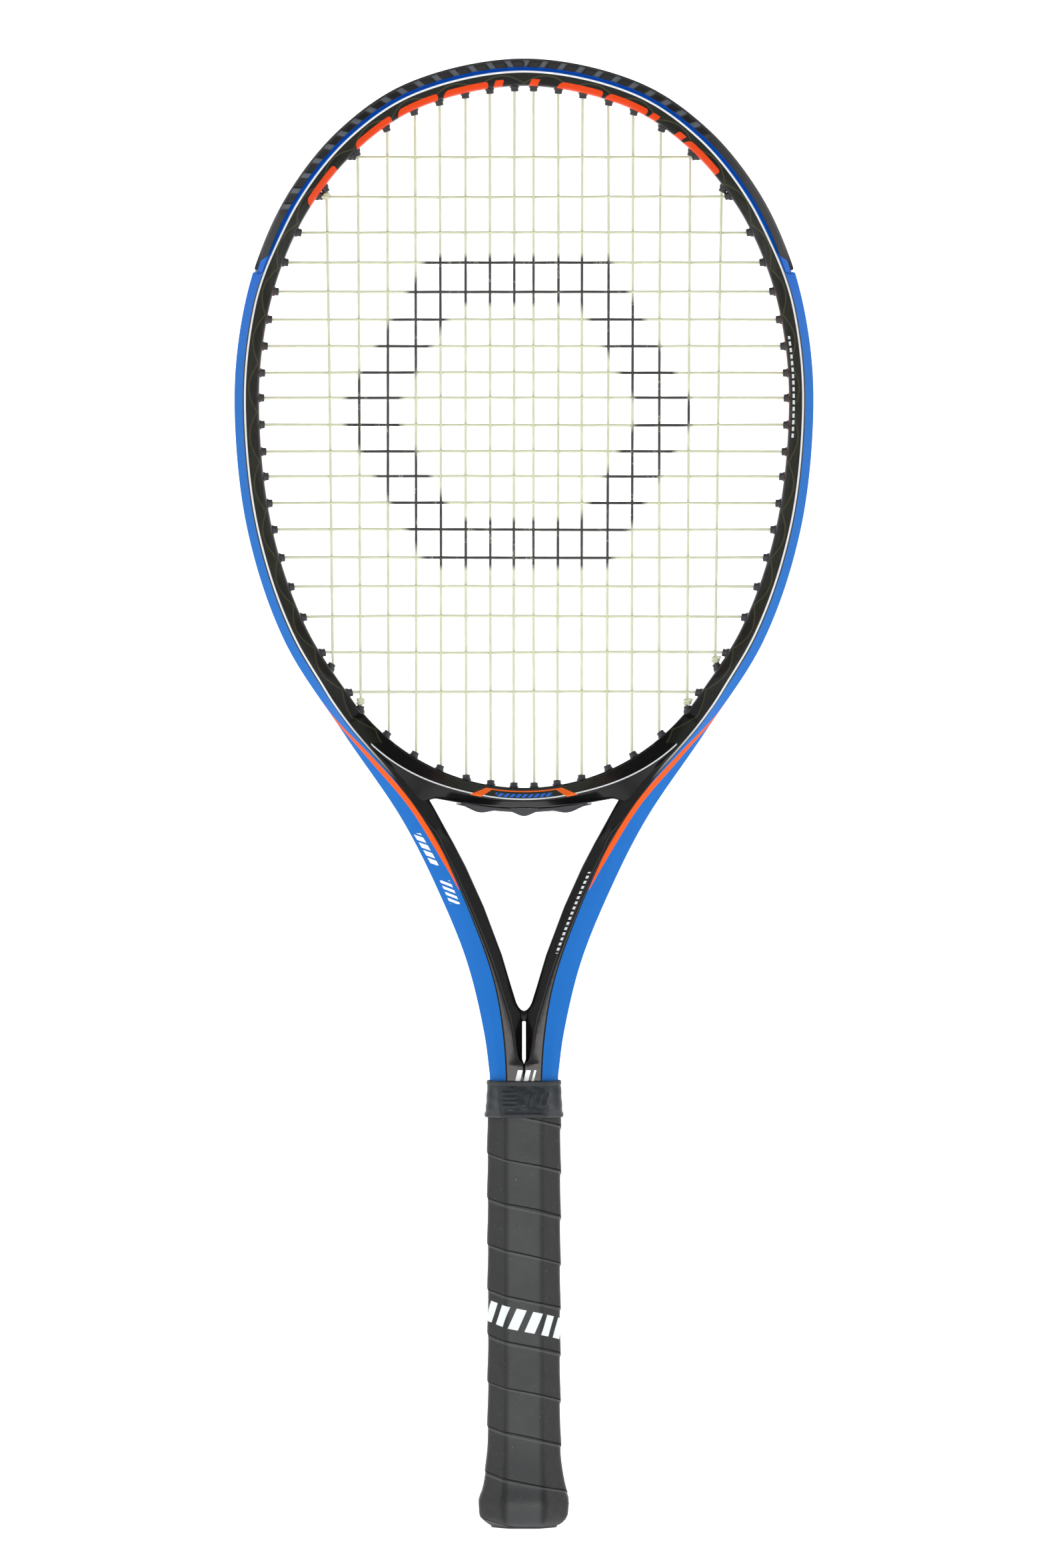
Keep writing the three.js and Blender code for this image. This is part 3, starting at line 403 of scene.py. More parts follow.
def lacquer():
    n = Nodes("frame_lacquer")
    x, _, z = n.axes()
    blue_to, stripe, crest, inner = (n.value(k) for k in ("black_in", "stripe", "crest_at", "inner_at"))
    run = n.value("run")
    height = n.node("ShaderNodeMapRange", {0: z, 1: 540.0, 2: 640.0, 3: 0.0, 4: 1.0})
    flakes = n.cells(0.35)
    shade = n.noise(18.0, 2.0)
    blue = n.mix(height, rgb(0, 103, 188), rgb(0, 92, 215))
    blue = n.mix(n.spread(flakes, 0.0, 0.14), blue, rgb(10, 140, 225))
    blue = n.mix(n.spread(shade, 0.0, 0.25), blue, rgb(0, 84, 172))
    black = black_paint(n)
    # Olive boat shapes on the inner slanted face, one for each pair of grommets.
    wave = n.math("ABSOLUTE", n.math("SINE", n.math("MULTIPLY", run, math.pi / 24)))
    bow = n.math("SUBTRACT", n.math("MULTIPLY_ADD", wave, 3.6, 1.1), inner)
    in_head = n.step(n.math("SUBTRACT", z, 352.0), 3.0)
    olive_line = n.both(n.within(bow, -0.32, 0.32, 0.2), in_head)
    olive_fill = n.both(n.step(n.math("SUBTRACT", 0.0, bow), 0.3), in_head)
    black = n.mix(n.math("MULTIPLY", olive_fill, 0.55), black, rgb(34, 35, 27))
    black = n.mix(n.math("MULTIPLY", olive_line, 0.6), black, rgb(70, 70, 48))
    colour = n.mix(n.step(blue_to), blue, black)
    # A thin white line on the crest, all round the head and down the shaft as far as the stripe.
    white = n.both(n.within(crest, -0.42, 0.42), n.step(n.math("SUBTRACT", z, 362.0), 26.0))
    colour = n.mix(white, colour, rgb(232, 234, 236))
    # Orange blocks on the inner slanted face round the top of the head.
    colour = n.mix(n.step(n.value("orange"), 0.1), colour, rgb(228, 64, 4))
    flat_paint = n.both(n.step(n.math("SUBTRACT", 0.05, inner), 0.05), n.within(z, 486.0, 578.0, 0.5))
    colour = n.mix(flat_paint, colour, rgb(232, 76, 24))
    colour = n.mix(n.step(stripe, 0.06), colour, rgb(242, 88, 0))
    # Plain dashes where makers print words: on the head's sides, the shafts and over the collar.
    def dashes(along, pitch, fill):
        return n.step(n.math("SUBTRACT", n.math("PINGPONG", along, pitch / 2), pitch / 2 * (1 - fill)), 0.08)
    side = n.both(n.within(inner, 1.7, 2.7, 0.06), n.within(z, 508.0, 556.0, 0.1), dashes(run, 3.2, 0.62),
                  n.step(x))
    colour = n.mix(side, colour, rgb(225, 228, 230))
    on_left = n.step(n.math("MULTIPLY", x, -1.0))
    slant = n.math("MULTIPLY_ADD", blue_to, 0.5, z)
    low = n.both(n.within(z, 291.0, 302.0, 0.08), n.within(blue_to, -6.9, -2.6, 0.08),
                 dashes(slant, 2.8, 0.55), on_left)
    high = n.both(n.within(z, 309.0, 324.0, 0.08), n.within(blue_to, -7.2, -4.2, 0.08),
                  dashes(slant, 3.6, 0.7), on_left)
    right = n.both(n.within(z, 268.0, 306.0, 0.08), n.within(blue_to, 2.2, 3.3, 0.06),
                   dashes(z, 2.4, 0.55), n.step(x))
    leaning = n.math("MULTIPLY_ADD", z, -0.25, x)
    sign = n.both(n.within(z, 206.5, 213.6, 0.08), n.within(leaning, -57.2, -47.6, 0.08),
                  n.step(n.math("SUBTRACT", n.math("PINGPONG", leaning, 1.9), 0.75), 0.08))
    for mark in (low, high, right, sign):
        colour = n.mix(mark, colour, rgb(236, 239, 241))
    painted = n.math("SUBTRACT", 1.0, n.step(blue_to))
    rough = n.math("MULTIPLY_ADD", n.noise(30.0, 4.0), 0.12, n.math("MULTIPLY_ADD", painted, 0.22, 0.1))
    return n.finish(Base_Color=colour, Roughness=rough, Metallic=n.math("MULTIPLY", painted, 0.25),
                    Normal=lacquer_relief(n), **CLEAR_COAT)


def nylon(name, dark, light, size=0.5, ribbed=False):
    n = Nodes(name)
    grain = n.noise(size, 4.0, 0.6)
    patches = n.noise(14.0, 3.0)
    colour = n.mix(n.spread(patches, 0.1, 0.9), rgb(*dark), rgb(*light))
    if ribbed:
        # Painted light and shade on the ribbed bumper: the ridges between the recesses are painted lighter, a painted
        # highlight, and the recesses darker, painted shade.
        rib = n.value("rib")
        colour = n.mix(n.math("MULTIPLY", rib, 1.0, clamp=True), colour, rgb(92, 99, 106))
        colour = n.mix(n.math("MULTIPLY", rib, -1.0, clamp=True), colour, rgb(12, 12, 14))
    scuffs = n.noise(1.4, 5.0, 0.75)
    worn = n.math("MULTIPLY_ADD", scuffs, 6.0, -3.9, clamp=True)
    colour = n.mix(n.math("MULTIPLY", worn, 0.3), colour, rgb(112, 112, 114))
    normal = n.bump(grain, 0.05, 0.5, n.bump(scuffs, 0.06, 0.25))
    return n.finish(Base_Color=colour, Roughness=n.spread(patches, 0.3, 0.48), Normal=normal)


def string_material():
    n = Nodes("string_multifilament")
    x, y, z = n.axes()
    fibre = n.value("twist")
    lines = n.math("SINE", n.math("MULTIPLY", fibre, 60.0))
    shade = n.noise(6.0, 4.0)
    colour = n.mix(n.spread(shade, 0.0, 1.0), rgb(232, 235, 210), rgb(216, 220, 186))
    colour = n.mix(n.math("MULTIPLY_ADD", lines, 0.06, 0.06), colour, rgb(206, 211, 182))
    # A worn stencil on the front: a plain six-sided ring.
    dx, dz = n.math("ABSOLUTE", n.math("ADD", x, 3.0)), n.math("ABSOLUTE", n.math("SUBTRACT", z, 521.0))
    side = n.math("MULTIPLY_ADD", dx, 0.866, n.math("MULTIPLY", dz, 0.5))
    stencil = n.within(n.math("MAXIMUM", side, dz), 50.0, 73.0, 3.0)
    patchy = n.math("MULTIPLY_ADD", n.noise(6.0, 4.0, 0.7), 7.0, -2.1, clamp=True)
    streaks = n.math("MULTIPLY_ADD", n.noise(0.8, 3.0, 0.7), 6.0, -2.0, clamp=True)
    ink = n.both(stencil, n.math("MAXIMUM", patchy, streaks), n.step(n.math("SUBTRACT", 0.25, y), 0.5))
    colour = n.mix(n.math("MULTIPLY", ink, 0.985), colour, rgb(30, 31, 34))
    normal = n.bump(lines, 0.03, 0.5, n.bump(n.noise(0.2, 2.0), 0.01, 0.4))
    return n.finish(Base_Color=colour, Roughness=0.32, Normal=normal, Subsurface_Weight=0.12,
                    Subsurface_Radius=(0.002, 0.002, 0.0012), Subsurface_Scale=0.5, Coat_Weight=0.25)


def grip_material():
    n = Nodes("grip_synthetic_leather")
    x, turn, across, lip = n.axes()[0], n.value("turn"), n.value("across"), n.value("lip")
    grain = n.cells(0.55, "F1")
    pores = n.cells(0.9, "DISTANCE_TO_EDGE")
    creases = n.noise(5.0, 5.0, 0.62)
    cloudy = n.noise(26.0, 3.0)
    colour = n.mix(n.spread(cloudy, 0.0, 1.0), rgb(15, 15, 16), rgb(22, 23, 24))
    # The front and back flats are painted lighter than the bevels, a painted sheen, and are also given a lower
    # roughness, as the hand polishes them.
    polish_and_sheen = n.both(n.within(x, -7.9, 7.9, 2.2), n.math("MULTIPLY_ADD", cloudy, 0.9, 0.45))
    colour = n.mix(polish_and_sheen, colour, rgb(55, 57, 58))
    # A painted highlight on each turn just below the edge of the turn that laps over it.
    colour = n.mix(n.math("MULTIPLY", n.within(across, 20.0, 20.9, 0.5), 0.35), colour, rgb(96, 98, 100))
    # The downward-facing edge of each lap is painted near black: painted shade under the lap.
    colour = n.mix(lip, colour, rgb(9, 9, 9))
    specks = n.math("MULTIPLY_ADD", n.noise(0.7, 1.0), 30.0, -22.6, clamp=True)
    colour = n.mix(n.math("MULTIPLY", specks, 0.5), colour, rgb(140, 140, 140))
    # A printed band of plain slanted bars, which follows the tape round.
    bars = n.math("PINGPONG", n.math("MULTIPLY_ADD", across, 0.42, turn), 3.9)
    band = n.both(n.step(n.math("SUBTRACT", bars, 1.55), 0.15), n.within(across, 6.4, 16.6, 0.15),
                  n.value("printed"))
    colour = n.mix(band, colour, rgb(228, 233, 236))
    height = n.math("ADD", n.math("MULTIPLY", grain, 0.5), n.math("MULTIPLY", creases, 1.4))
    normal = n.bump(height, 0.12, 0.55, n.bump(pores, 0.05, 0.4))
    rough = n.math("MULTIPLY_ADD", creases, 0.2, n.math("MULTIPLY_ADD", polish_and_sheen, -0.1, 0.38))
    rough = n.math("MULTIPLY_ADD", band, -0.15, rough)
    rough = n.math("MAXIMUM", rough, lip)
    return n.finish(Base_Color=colour, Roughness=rough, Normal=normal, Specular_IOR_Level=0.36)


def rubber_material():
    n = Nodes("collar_rubber")
    patches = n.noise(7.0, 4.0, 0.6)
    colour = n.mix(patches, rgb(12, 18, 23), rgb(26, 34, 41))
    dust = n.math("MULTIPLY_ADD", n.noise(0.9, 4.0, 0.8), 8.0, -5.4, clamp=True)
    colour = n.mix(n.math("MULTIPLY", dust, 0.35), colour, rgb(118, 124, 126))
    normal = n.bump(patches, 0.25, 0.35, n.bump(n.noise(0.3, 3.0), 0.02, 0.5))
    return n.finish(Base_Color=colour, Roughness=n.spread(patches, 0.32, 0.5), Normal=normal)


def plain_material(name, dark, light, grain, depth, rough=(0.5, 0.7), metallic=0.0):
    n = Nodes(name)
    cloudy, fine = n.noise(8.0, 3.0), n.noise(grain, 4.0, 0.6)
    colour = n.mix(n.math("MULTIPLY_ADD", fine, 0.5, n.math("MULTIPLY", cloudy, 0.5)), rgb(*dark), rgb(*light))
    return n.finish(Base_Color=colour, Roughness=n.spread(cloudy, *rough), Metallic=metallic,
                    Normal=n.bump(fine, depth, 0.6, n.bump(cloudy, depth * 2, 0.2)))


LACQUER = lacquer()
GUARD = nylon("guard_nylon", (34, 33, 36), (46, 45, 49), ribbed=True)
GROMMET = nylon("grommet_nylon", (36, 38, 41), (52, 55, 60), 0.3)
STRING = string_material()
GRIP = grip_material()
RUBBER = rubber_material()
TAPE = plain_material("vinyl_tape", (20, 20, 21), (32, 32, 33), 0.4, 0.03, (0.35, 0.5))
PLASTIC = plain_material("cap_plastic", (26, 27, 30), (38, 39, 43), 0.35, 0.05, (0.42, 0.6))
FOAM = plain_material("pallet_foam", (104, 98, 88), (138, 131, 118), 0.7, 0.2, (0.8, 0.95))
STEEL = plain_material("staple_wire", (150, 152, 155), (190, 192, 195), 0.25, 0.01, (0.25, 0.4), 1.0)


# ---------------------------------------------------------------- frame skin
def slanted(points, z, low, high):
    """x of a paint edge by height, and the cosine that turns a level distance to it into a true one."""
    heights = np.linspace(low, high, 2 * (high - low) + 1)
    slope = np.gradient(table(points, heights), 0.5)
    return table(points, z), 1 / np.sqrt(1 + np.interp(z, heights, slope) ** 2)


def frame_paint(point, d, width):
    """Signed distances for the paint: into black, into the stripe, from the crest line and from the inner edge."""
    x, z = np.abs(point[..., 0]), point[..., 1]
    border, border_cos = slanted(BLACK_EDGE, z, 190, 410)
    middle, stripe_cos = slanted(STRIPE, z, 280, 395)
    top = smooth(z, 570, 610)
    on_shaft = 1 - smooth(z, 385, 405)
    hoop_black = d - mix(4.0, 6.2, top)
    black = mix(hoop_black, (border - x) * border_cos, on_shaft)
    half = 1.35 * smooth(z, 287, 320) * (1 - 0.75 * smooth(z, 345, 388)) - 0.15
    stripe = np.where((z > 286) & (z < 385.5), half - np.abs(x - middle) * stripe_cos, -1.0)
    crest = mix(d - mix(5.05, 6.65, top), black - 0.75, on_shaft)
    return black, stripe, crest, width - d


def orange_blocks(run, inner):
    """Signed distance into the orange blocks, whose ends slant and whose outer corners are rounded."""
    slant = run + 0.5 * (3 - inner)
    best = np.full(np.broadcast(run, inner).shape, -5.0)
    spans = []
    for side, blocks in ((-1, BLOCKS_LEFT), (1, BLOCKS_RIGHT)):
        reached = 0
        for gap, length in blocks:
            near, far = side * (reached + gap), side * (reached + gap + length)
            spans.append((min(near, far), max(near, far), 2.2 if length == LONG_BLOCK else 0.2))
            reached += gap + length
    for start, end, radius in spans:
        along = np.abs(slant - (start + end) / 2) - (end - start) / 2 + radius
        across = inner - 2.95 + radius
        corner = np.hypot(np.maximum(along, 0), np.maximum(across, 0))
        best = np.maximum(best, radius - corner - np.minimum(np.maximum(along, across), 0))
    return best


def frame_skin():
    z = outer[:, 1]
    w = widths
    shaft = 1 - smooth(z, 300, 372)
    depth = mix(HOOP_DEPTH, SHAFT_DEPTH, shaft)
    border = depth_where(BLACK_EDGE, outer, outer_into, w)
    crease = depth_where(CREASE, outer, outer_into, w)
    on_shaft = 1 - smooth(z, 372, 400)
    crown = smooth(z, 570, 610)
    crest = mix(mix(4.95, 6.2, crown), np.clip(border, 3.6, None), on_shaft)
    plateau = np.maximum(crease, crest + 0.5)
    fold = mix(crest + 0.5, plateau, 1 - smooth(z, 300, 330))
    fold = np.minimum(fold, w - 0.4)
    solid_web = 1 - smooth(z, 214, 219)
    outer_flat, inner_flat = mix(5, 5.5, shaft), mix(3.5, 7, shaft)
    inner_flat = mix(inner_flat, depth / 2 - 0.5, solid_web)
    bulge = 0.35 * shaft
    # The groove that the grommet strips and the strings lie in, closed at the shoulders.
    groove = smooth(z, SHOULDER_END - 1.0, SHOULDER_END + 1.5)
    seat = smooth(z, BUMPER_END - 1.0, BUMPER_END - 0.2)
    groove_half, groove_floor = mix(3.1, 2.9, seat), 0.02 + 2.0 * groove
    rim = 1.6 * seat + 0.02
    face_at = 4.4 * seat
    corners = mirrored_corners([
        (groove_floor, groove_half), (rim, groove_half + 0.02), (rim, mix(outer_flat, 5.2, seat)),
        (face_at, mix(outer_flat, 8.6, seat)),
        (crest * 0.5 + face_at * 0.4, mix(outer_flat, depth / 2, 0.5) + bulge + 0.4 * seat),
        (crest, depth / 2), (fold, depth / 2 - 0.15 * (1 - shaft)),
        (mix(fold, w, 0.5), mix(depth / 2, inner_flat, 0.5)), (w, inner_flat),
    ], len(z))
    radii = [0.15, 0.4, 0.5, 0.8, 1.0, 0.9, 0.9, 1.0, 1.1]
    section = rounded(corners, radii + radii[::-1], 4)
    section = along_face(section, 0.85)
    d, y = section[..., 0], section[..., 1]
    plane = outer[:, None, :] + outer_into[:, None, :] * d[..., None]
    run = run_along(outer)
    right = np.stack([plane[..., 0], y, plane[..., 1]], axis=-1)
    paint = frame_paint(plane, d, w[:, None])
    values = [*paint, np.broadcast_to(run[:, None], d.shape)]
    mirror = right[:0:-1] * [-1, 1, 1]
    rings = np.vstack([mirror, right])
    attributes = {}
    for key, v in zip(("black_in", "stripe", "crest_at", "inner_at", "run"), values):
        v = np.asarray(v)
        attributes[key] = np.vstack([v[:0:-1] * (-1 if key == "run" else 1), v])
    attributes["orange"] = orange_blocks(attributes["run"], attributes["inner_at"])
    attributes = {k: v.ravel() for k, v in attributes.items()}
    verts, faces = skin(rings)
    attributes = {k: np.append(v, [v[0], v[-1]]) for k, v in attributes.items()}
    piece = mesh_object("frame_skin", verts, faces, LACQUER, **attributes)
    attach(piece, "root")
    return piece


def throat_web():
    """The small web that closes the slit below the throat opening, sunk between the two shafts."""
    x = np.linspace(-3.3, 3.3, 25)
    top = 241.2 + 0.3 * np.abs(x) ** 2
    low = 236.3 - 0.55 * x**2
    half = 7.2 + 0.12 * x**2
    corners = np.stack([np.stack([z, y], axis=1) for z, y in (
        (top, half - 1.2), (top, 1.2 - half), (mix(top, low, 0.5), -half), (low, 1.2 - half), (low, half - 1.2),
        (mix(top, low, 0.5), half))], axis=1)
    section = rounded(corners, [1.2, 1.2, 1.0, 1.0, 1.0, 1.0], 5)
    rings = np.stack([np.broadcast_to(x[:, None], section.shape[:2]), section[..., 1], section[..., 0]], axis=-1)
    verts, faces = skin(rings)
    flat = np.full(len(verts), 9.0)
    piece = mesh_object("throat_web", verts, faces, LACQUER, black_in=flat, stripe=-flat, crest_at=flat,
                        inner_at=flat, run=flat, orange=-flat)
    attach(piece, "root")


def bridge_foot(x):
    return BRIDGE_FOOT + BRIDGE_RISE * (np.asarray(x, float) / THROAT_STRIP_HALF) ** 2


def bridge_material():
    n = Nodes("bridge_lacquer")
    x = n.axes()[0]
    top, crest = n.value("from_top"), n.value("crest_at")
    black = black_paint(n)
    side = n.math("ABSOLUTE", x)
    line = n.both(n.within(top, 1.55, 2.15, 0.06), n.step(n.math("SUBTRACT", 17.0, side), 0.1))
    leg_in = n.math("SUBTRACT", side, n.math("MULTIPLY_ADD", top, 1.26, 12.3))
    leg_out = n.math("SUBTRACT", n.math("MULTIPLY_ADD", top, 1.64, 15.1), side)
    legs = n.both(n.step(leg_in, 0.1), n.step(leg_out, 0.1), n.within(top, 1.55, 6.2, 0.1))
    blue_bars = n.both(n.within(top, 3.1, 4.7, 0.06), n.step(n.math("SUBTRACT", 13.2, side), 0.1),
                       n.step(n.math("SUBTRACT", n.math("PINGPONG", n.math("ADD", x, top), 1.4), 0.45), 0.06))
    colour = n.mix(n.math("MAXIMUM", line, legs), black, rgb(255, 104, 10))
    colour = n.mix(blue_bars, colour, rgb(20, 108, 222))
    white_crest_line = n.both(n.within(crest, -0.32, 0.32, 0.05), n.math("SUBTRACT", 1.0, legs))
    colour = n.mix(white_crest_line, colour, rgb(222, 225, 228))
    return n.finish(Base_Color=colour, Roughness=n.spread(n.noise(30.0, 4.0), 0.1, 0.2),
                    Normal=lacquer_relief(n), **CLEAR_COAT)


def bridge_skin():
    """The bridge, as a band under the head's inner edge that runs out into both shoulders."""
    x = np.arange(0, 77, 0.7)
    top = np.stack([x, foot_arc(x)], axis=1)
    into = inward(top, np.array([[0, 510.0]])) * -1
    centre = 1 - smooth(x, 18, 62)
    crest = mix(7.4, 5.4, centre)
    low_top = np.where(x < 36.5, bridge_foot(np.minimum(x, 36.5)),
                       bridge_foot(36.5) - np.maximum(x - 37.2, 0) * 0.1)
    corner = np.clip((x - 35) / 7.5, 0, 1)
    low = low_top - 6.0 * (1 - np.sqrt(np.clip(1 - corner**2, 0, 1)))
    width = np.where(x < 42.3, (top[:, 1] - low) / np.maximum(-into[:, 1], 0.3), 26.0)
    room = np.nan_to_num(np.array([reach(p, n, outer) for p, n in zip(top, into)]), nan=60.0) - 7.5
    width = np.where(x >= 42.3, room, np.minimum(width, room))
    ends = smooth(x, 61, 70)
    depth = mix(HOOP_DEPTH - 0.5, BRIDGE_DEPTH, centre) - 4 * ends
    inner_flat = mix(mix(4.5, 7.0, smooth(x, 30, 40)), 3.4, ends)
    corners = mirrored_corners([(1.2 * ends, mix(3.5, 2.5, ends)), (crest, depth / 2),
                                (crest + 0.9, depth / 2 - 0.1), (width, inner_flat)], len(x))
    radii = [1.1, 0.8, 0.8, 1.4]
    section = along_face(rounded(corners, radii + radii[::-1], 4), 0.7)
    d, y = section[..., 0], section[..., 1]
    plane = top[:, None, :] + into[:, None, :] * d[..., None]
    right = np.stack([plane[..., 0], y, plane[..., 1]], axis=-1)
    right[0, :, 0] = 0
    rings = np.vstack([right[:0:-1] * [-1, 1, 1], right])
    verts, faces = skin(rings)
    fields = {"from_top": d, "crest_at": d - crest[:, None]}
    attributes = {k: np.append(np.vstack([v[:0:-1], v]).ravel(), [0, 0]) for k, v in fields.items()}
    piece = mesh_object("bridge_skin", verts, faces, bridge_material(), **attributes)
    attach(piece, "root")
    return piece


# ---------------------------------------------------------------- grommets
def seat_of(key, target, top, lean):
    """Where a barrel's mouth is and which way it points out through the frame, as in the CAD."""
    best = None
    for point, into in zip(head_inner, head_into):
        if key == 0 and (point[1] > 510) != top:
            continue
        along = np.array([0, 1.0 if top else -1.0]) if key == 0 else np.array([1.0, 0])
        out = unit(mix(along, into, lean))
        mouth = point - out * BARREL_STAND
        miss = abs(mouth[key] - target)
        if best is None or miss < best[0]:
            best = (miss, mouth, out, along)
    return best[1:]


main_tops = [seat_of(0, x, True, 0.5) for x in MAIN_TOPS]
main_feet = [seat_of(0, x, False, lean) for x, lean in zip(MAIN_FEET, FOOT_LEAN)]
cross_ends = [seat_of(1, z, False, 0.35) for z in CROSSES]
flipped = lambda s: tuple(v * [-1, 1] for v in s)


def barrels(seats, length=4.0):
    """Hollow barrels with a rounded rim and a small foot, standing out of the frame."""
    profile = [(0.72, 3.2), (0.72, 0.35), (0.86, 0.0), (1.45, -0.02), (1.72, 0.12), (1.8, 0.4), (1.8, 1.45),
               (2.15, 1.9), (2.35, 2.5), (2.35, length)]
    around, verts, faces = 18, [], []
    turn = np.linspace(0, 2 * math.pi, around, endpoint=False)
    for mouth, out, _ in seats:
        side = np.array([-out[1], out[0]])
        tilt = rng.normal(0, 0.035, 2)
        rings = []
        for radius, far in profile:
            centre = mouth + out * far + side * tilt[0] * (2.5 - far)
            p = centre[None, :] + side[None, :] * (np.cos(turn) * radius)[:, None]
            y = np.sin(turn) * radius + tilt[1] * (2.5 - far)
            rings.append(np.stack([p[:, 0], y, p[:, 1]], axis=1))
        base = len(verts) * around
        grid = grid_faces(len(rings), around)
        grid = grid if side[0] * out[1] - side[1] * out[0] > 0 else grid[:, ::-1]
        faces += (grid + base).tolist()
        verts += rings
    return np.vstack(verts), faces


def strip_along(points, into, profile, shape=None):
    """A closed strip with a d, y profile along an edge. shape(run) may move each ring's profile."""
    profile = np.asarray(profile, float)
    section = np.broadcast_to(profile, (len(points), *profile.shape)).copy()
    if shape is not None:
        section = shape(run_along(points), section)
    plane = points[:, None, :] + into[:, None, :] * section[..., 0, None]
    return np.stack([plane[..., 0], section[..., 1], plane[..., 1]], axis=-1)


def join(parts):
    """Several (vertices, faces) as one."""
    verts, faces, count = [], [], 0
    for v, f in parts:
        verts.append(v)
        faces += [[i + count for i in face] for face in f]
        count += len(v)
    return np.vstack(verts), faces


def rounded_profile(corners, radii, per=4, fine=None):
    section = rounded(np.asarray(corners, float)[None], radii, per)
    return (along_face(section, fine) if fine else section)[0]


def bumper():
    points = spaced(whole(outer[outer[:, 1] > BUMPER_END + 0.4]), 0.55)
    inwards = inward(points, np.stack([points[:, 0] * 0, np.full(len(points), 400.0)], axis=1))
    side = [[2.0, -1.7], [0.15, -2.1], [0, -5.2], [1.3, -6.8], [4.3, -9.4], [4.3, -7.4], [1.5, -5.3], [2.9, -2.4]]
    front = np.asarray(side, float)
    corners = np.vstack([front, (front * [1, -1])[::-1]])
    radii = [0.3, 0.5, 0.9, 0.8, 0.3, 0.1, 0.1, 0.1]
    profile = rounded_profile(corners, radii + radii[::-1], 4, 0.35)
    total = np.sum(np.linalg.norm(np.diff(points, axis=0), axis=1))
    ribs = np.zeros((len(points), len(profile)))

    def shape(run, section):
        d, y = section[..., 0], section[..., 1]
        middle = run[:, None] - total / 2
        on_face = (np.abs(y) > 5.6) & (d < 4.25) & (d < (np.abs(y) - 5.2) * 0.95 + 0.5)
        lean = (d - 1.6) * 0.55 * np.sign(middle)
        phase = np.mod(middle + lean, 8.8)
        window = smooth(phase, 2.3, 3.1) * (1 - smooth(phase, 8.2, 8.8))
        # The recesses, and the painted light and shade of their ribs, run only along this stretch of the bumper.
        worn = smooth(middle, -145, -137) * (1 - smooth(middle, 92, 99))
        deep = smooth(d, 0.9, 1.5) * on_face * worn
        # Positive on the ridges, which the guard material paints lighter as a painted highlight; negative in the
        # recesses, which it paints darker as painted shade.
        ribs[:] = deep * np.where(window < 0.5, 1 - window, -window)
        cut = 0.5 * window * deep
        out = section.copy()
        out[..., 1] -= np.sign(y) * cut
        out[..., 0] += cut * 0.6
        near = np.minimum(run, total - run)[:, None]
        narrow = 1 - 0.42 * (1 - smooth(near, 0, 13)) ** 1.5
        out[..., 0] = mix(0.9, out[..., 0], smooth(near, -1, 1.5) * 0.3 + 0.7)
        out[..., 1] = out[..., 1] * mix(1.0, narrow, smooth(np.abs(y), 4.0, 6.5))
        return out

    body = skin(strip_along(points, inwards, profile, shape))
    seats = [*main_tops, *map(flipped, main_tops), *cross_ends[:4], *map(flipped, cross_ends[:4])]
    verts, faces = join([body, barrels(seats, 9.0)])
    rib = np.zeros(len(verts))
    rib[: ribs.size] = ribs.ravel()
    piece = mesh_object("bumper_guard_skin", verts, faces, GUARD, rib=rib)
    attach(piece, "root")
    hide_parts("bumper_guard")


def side_strips():
    for name, side in (("left", -1), ("right", 1)):
        pick = (outer[:, 1] < BUMPER_END - 2.6) & (outer[:, 1] > SHOULDER_END + 1.6)
        points, into = outer[pick], outer_into[pick]
        profile = rounded_profile([[1.5, -2.7], [1.2, -2.0], [1.75, -1.3], [1.75, 1.3], [1.2, 2.0], [1.5, 2.7],
                                   [2.9, 2.7], [2.9, -2.7]], [0.2] * 8, 3)
        rings = strip_along(points, into, profile)
        seats = [*cross_ends[4:], *main_feet[5:]]
        verts, faces = join([skin(rings), barrels(seats, 9.0)])
        if side < 0:
            verts = verts * [-1, 1, 1]
            faces = [f[::-1] for f in faces]
        piece = mesh_object(f"{name}_grommet_strip_skin", verts, faces, GROMMET)
        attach(piece, "root")
        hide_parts(f"{name}_grommet_strip", f"{name}_shoulder_grommets")
        shoulder = barrels([s if side > 0 else flipped(s) for s in main_feet[3:5]], 6.0)
        piece = mesh_object(f"{name}_shoulder_barrels", *shoulder, GROMMET)
        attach(piece, "root")


def throat_strip():
    """The strip under the bridge, with a lobe over each string that runs outside it and curled ends."""
    x = np.arange(-THROAT_STRIP_HALF - 0.6, THROAT_STRIP_HALF + 0.61, 0.4)
    points = np.stack([x, bridge_foot(x)], axis=1)
    into = np.stack([x * 0, np.ones(len(x))], axis=1)
    lobes = [(0, 6.2, 1.8), (20.6, 7.6, 1.6), (-20.9, 7.4, 1.6)]
    grow = np.max([h * (0.5 + 0.5 * np.cos(math.pi * np.clip(np.abs(x - m) / w, 0, 1))) ** 0.8
                   for m, w, h in lobes], axis=0)
    end = smooth(np.abs(x), THROAT_STRIP_HALF - 5, THROAT_STRIP_HALF + 0.6)
    low, high = -(1.75 + grow) * (1 - 0.4 * end) - end * 0.6, -0.05 - end * 0.9
    waist = mix(high, low, 0.6)
    corners = np.stack([np.stack([v, y * (1 - 0.2 * end)], axis=1) for v, y in (
        (high, 4.3), (high, -4.3), (waist, -4.1), (low, -2.9), (low, 2.9), (waist, 4.1))], axis=1)
    section = rounded(corners, [0.3, 0.3, 0.8, 1.0, 1.0, 0.8], 4)
    plane = points[:, None, :] + into[:, None, :] * section[..., 0, None]
    rings = np.stack([plane[..., 0], section[..., 1], plane[..., 1]], axis=-1)
    seats = [*main_feet[:3], *map(flipped, main_feet[:3])]
    verts, faces = join([skin(rings), barrels(seats, 9.0)])
    piece = mesh_object("throat_strip_skin", verts, faces, GROMMET)
    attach(piece, "root")
    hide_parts("throat_grommet_strip")


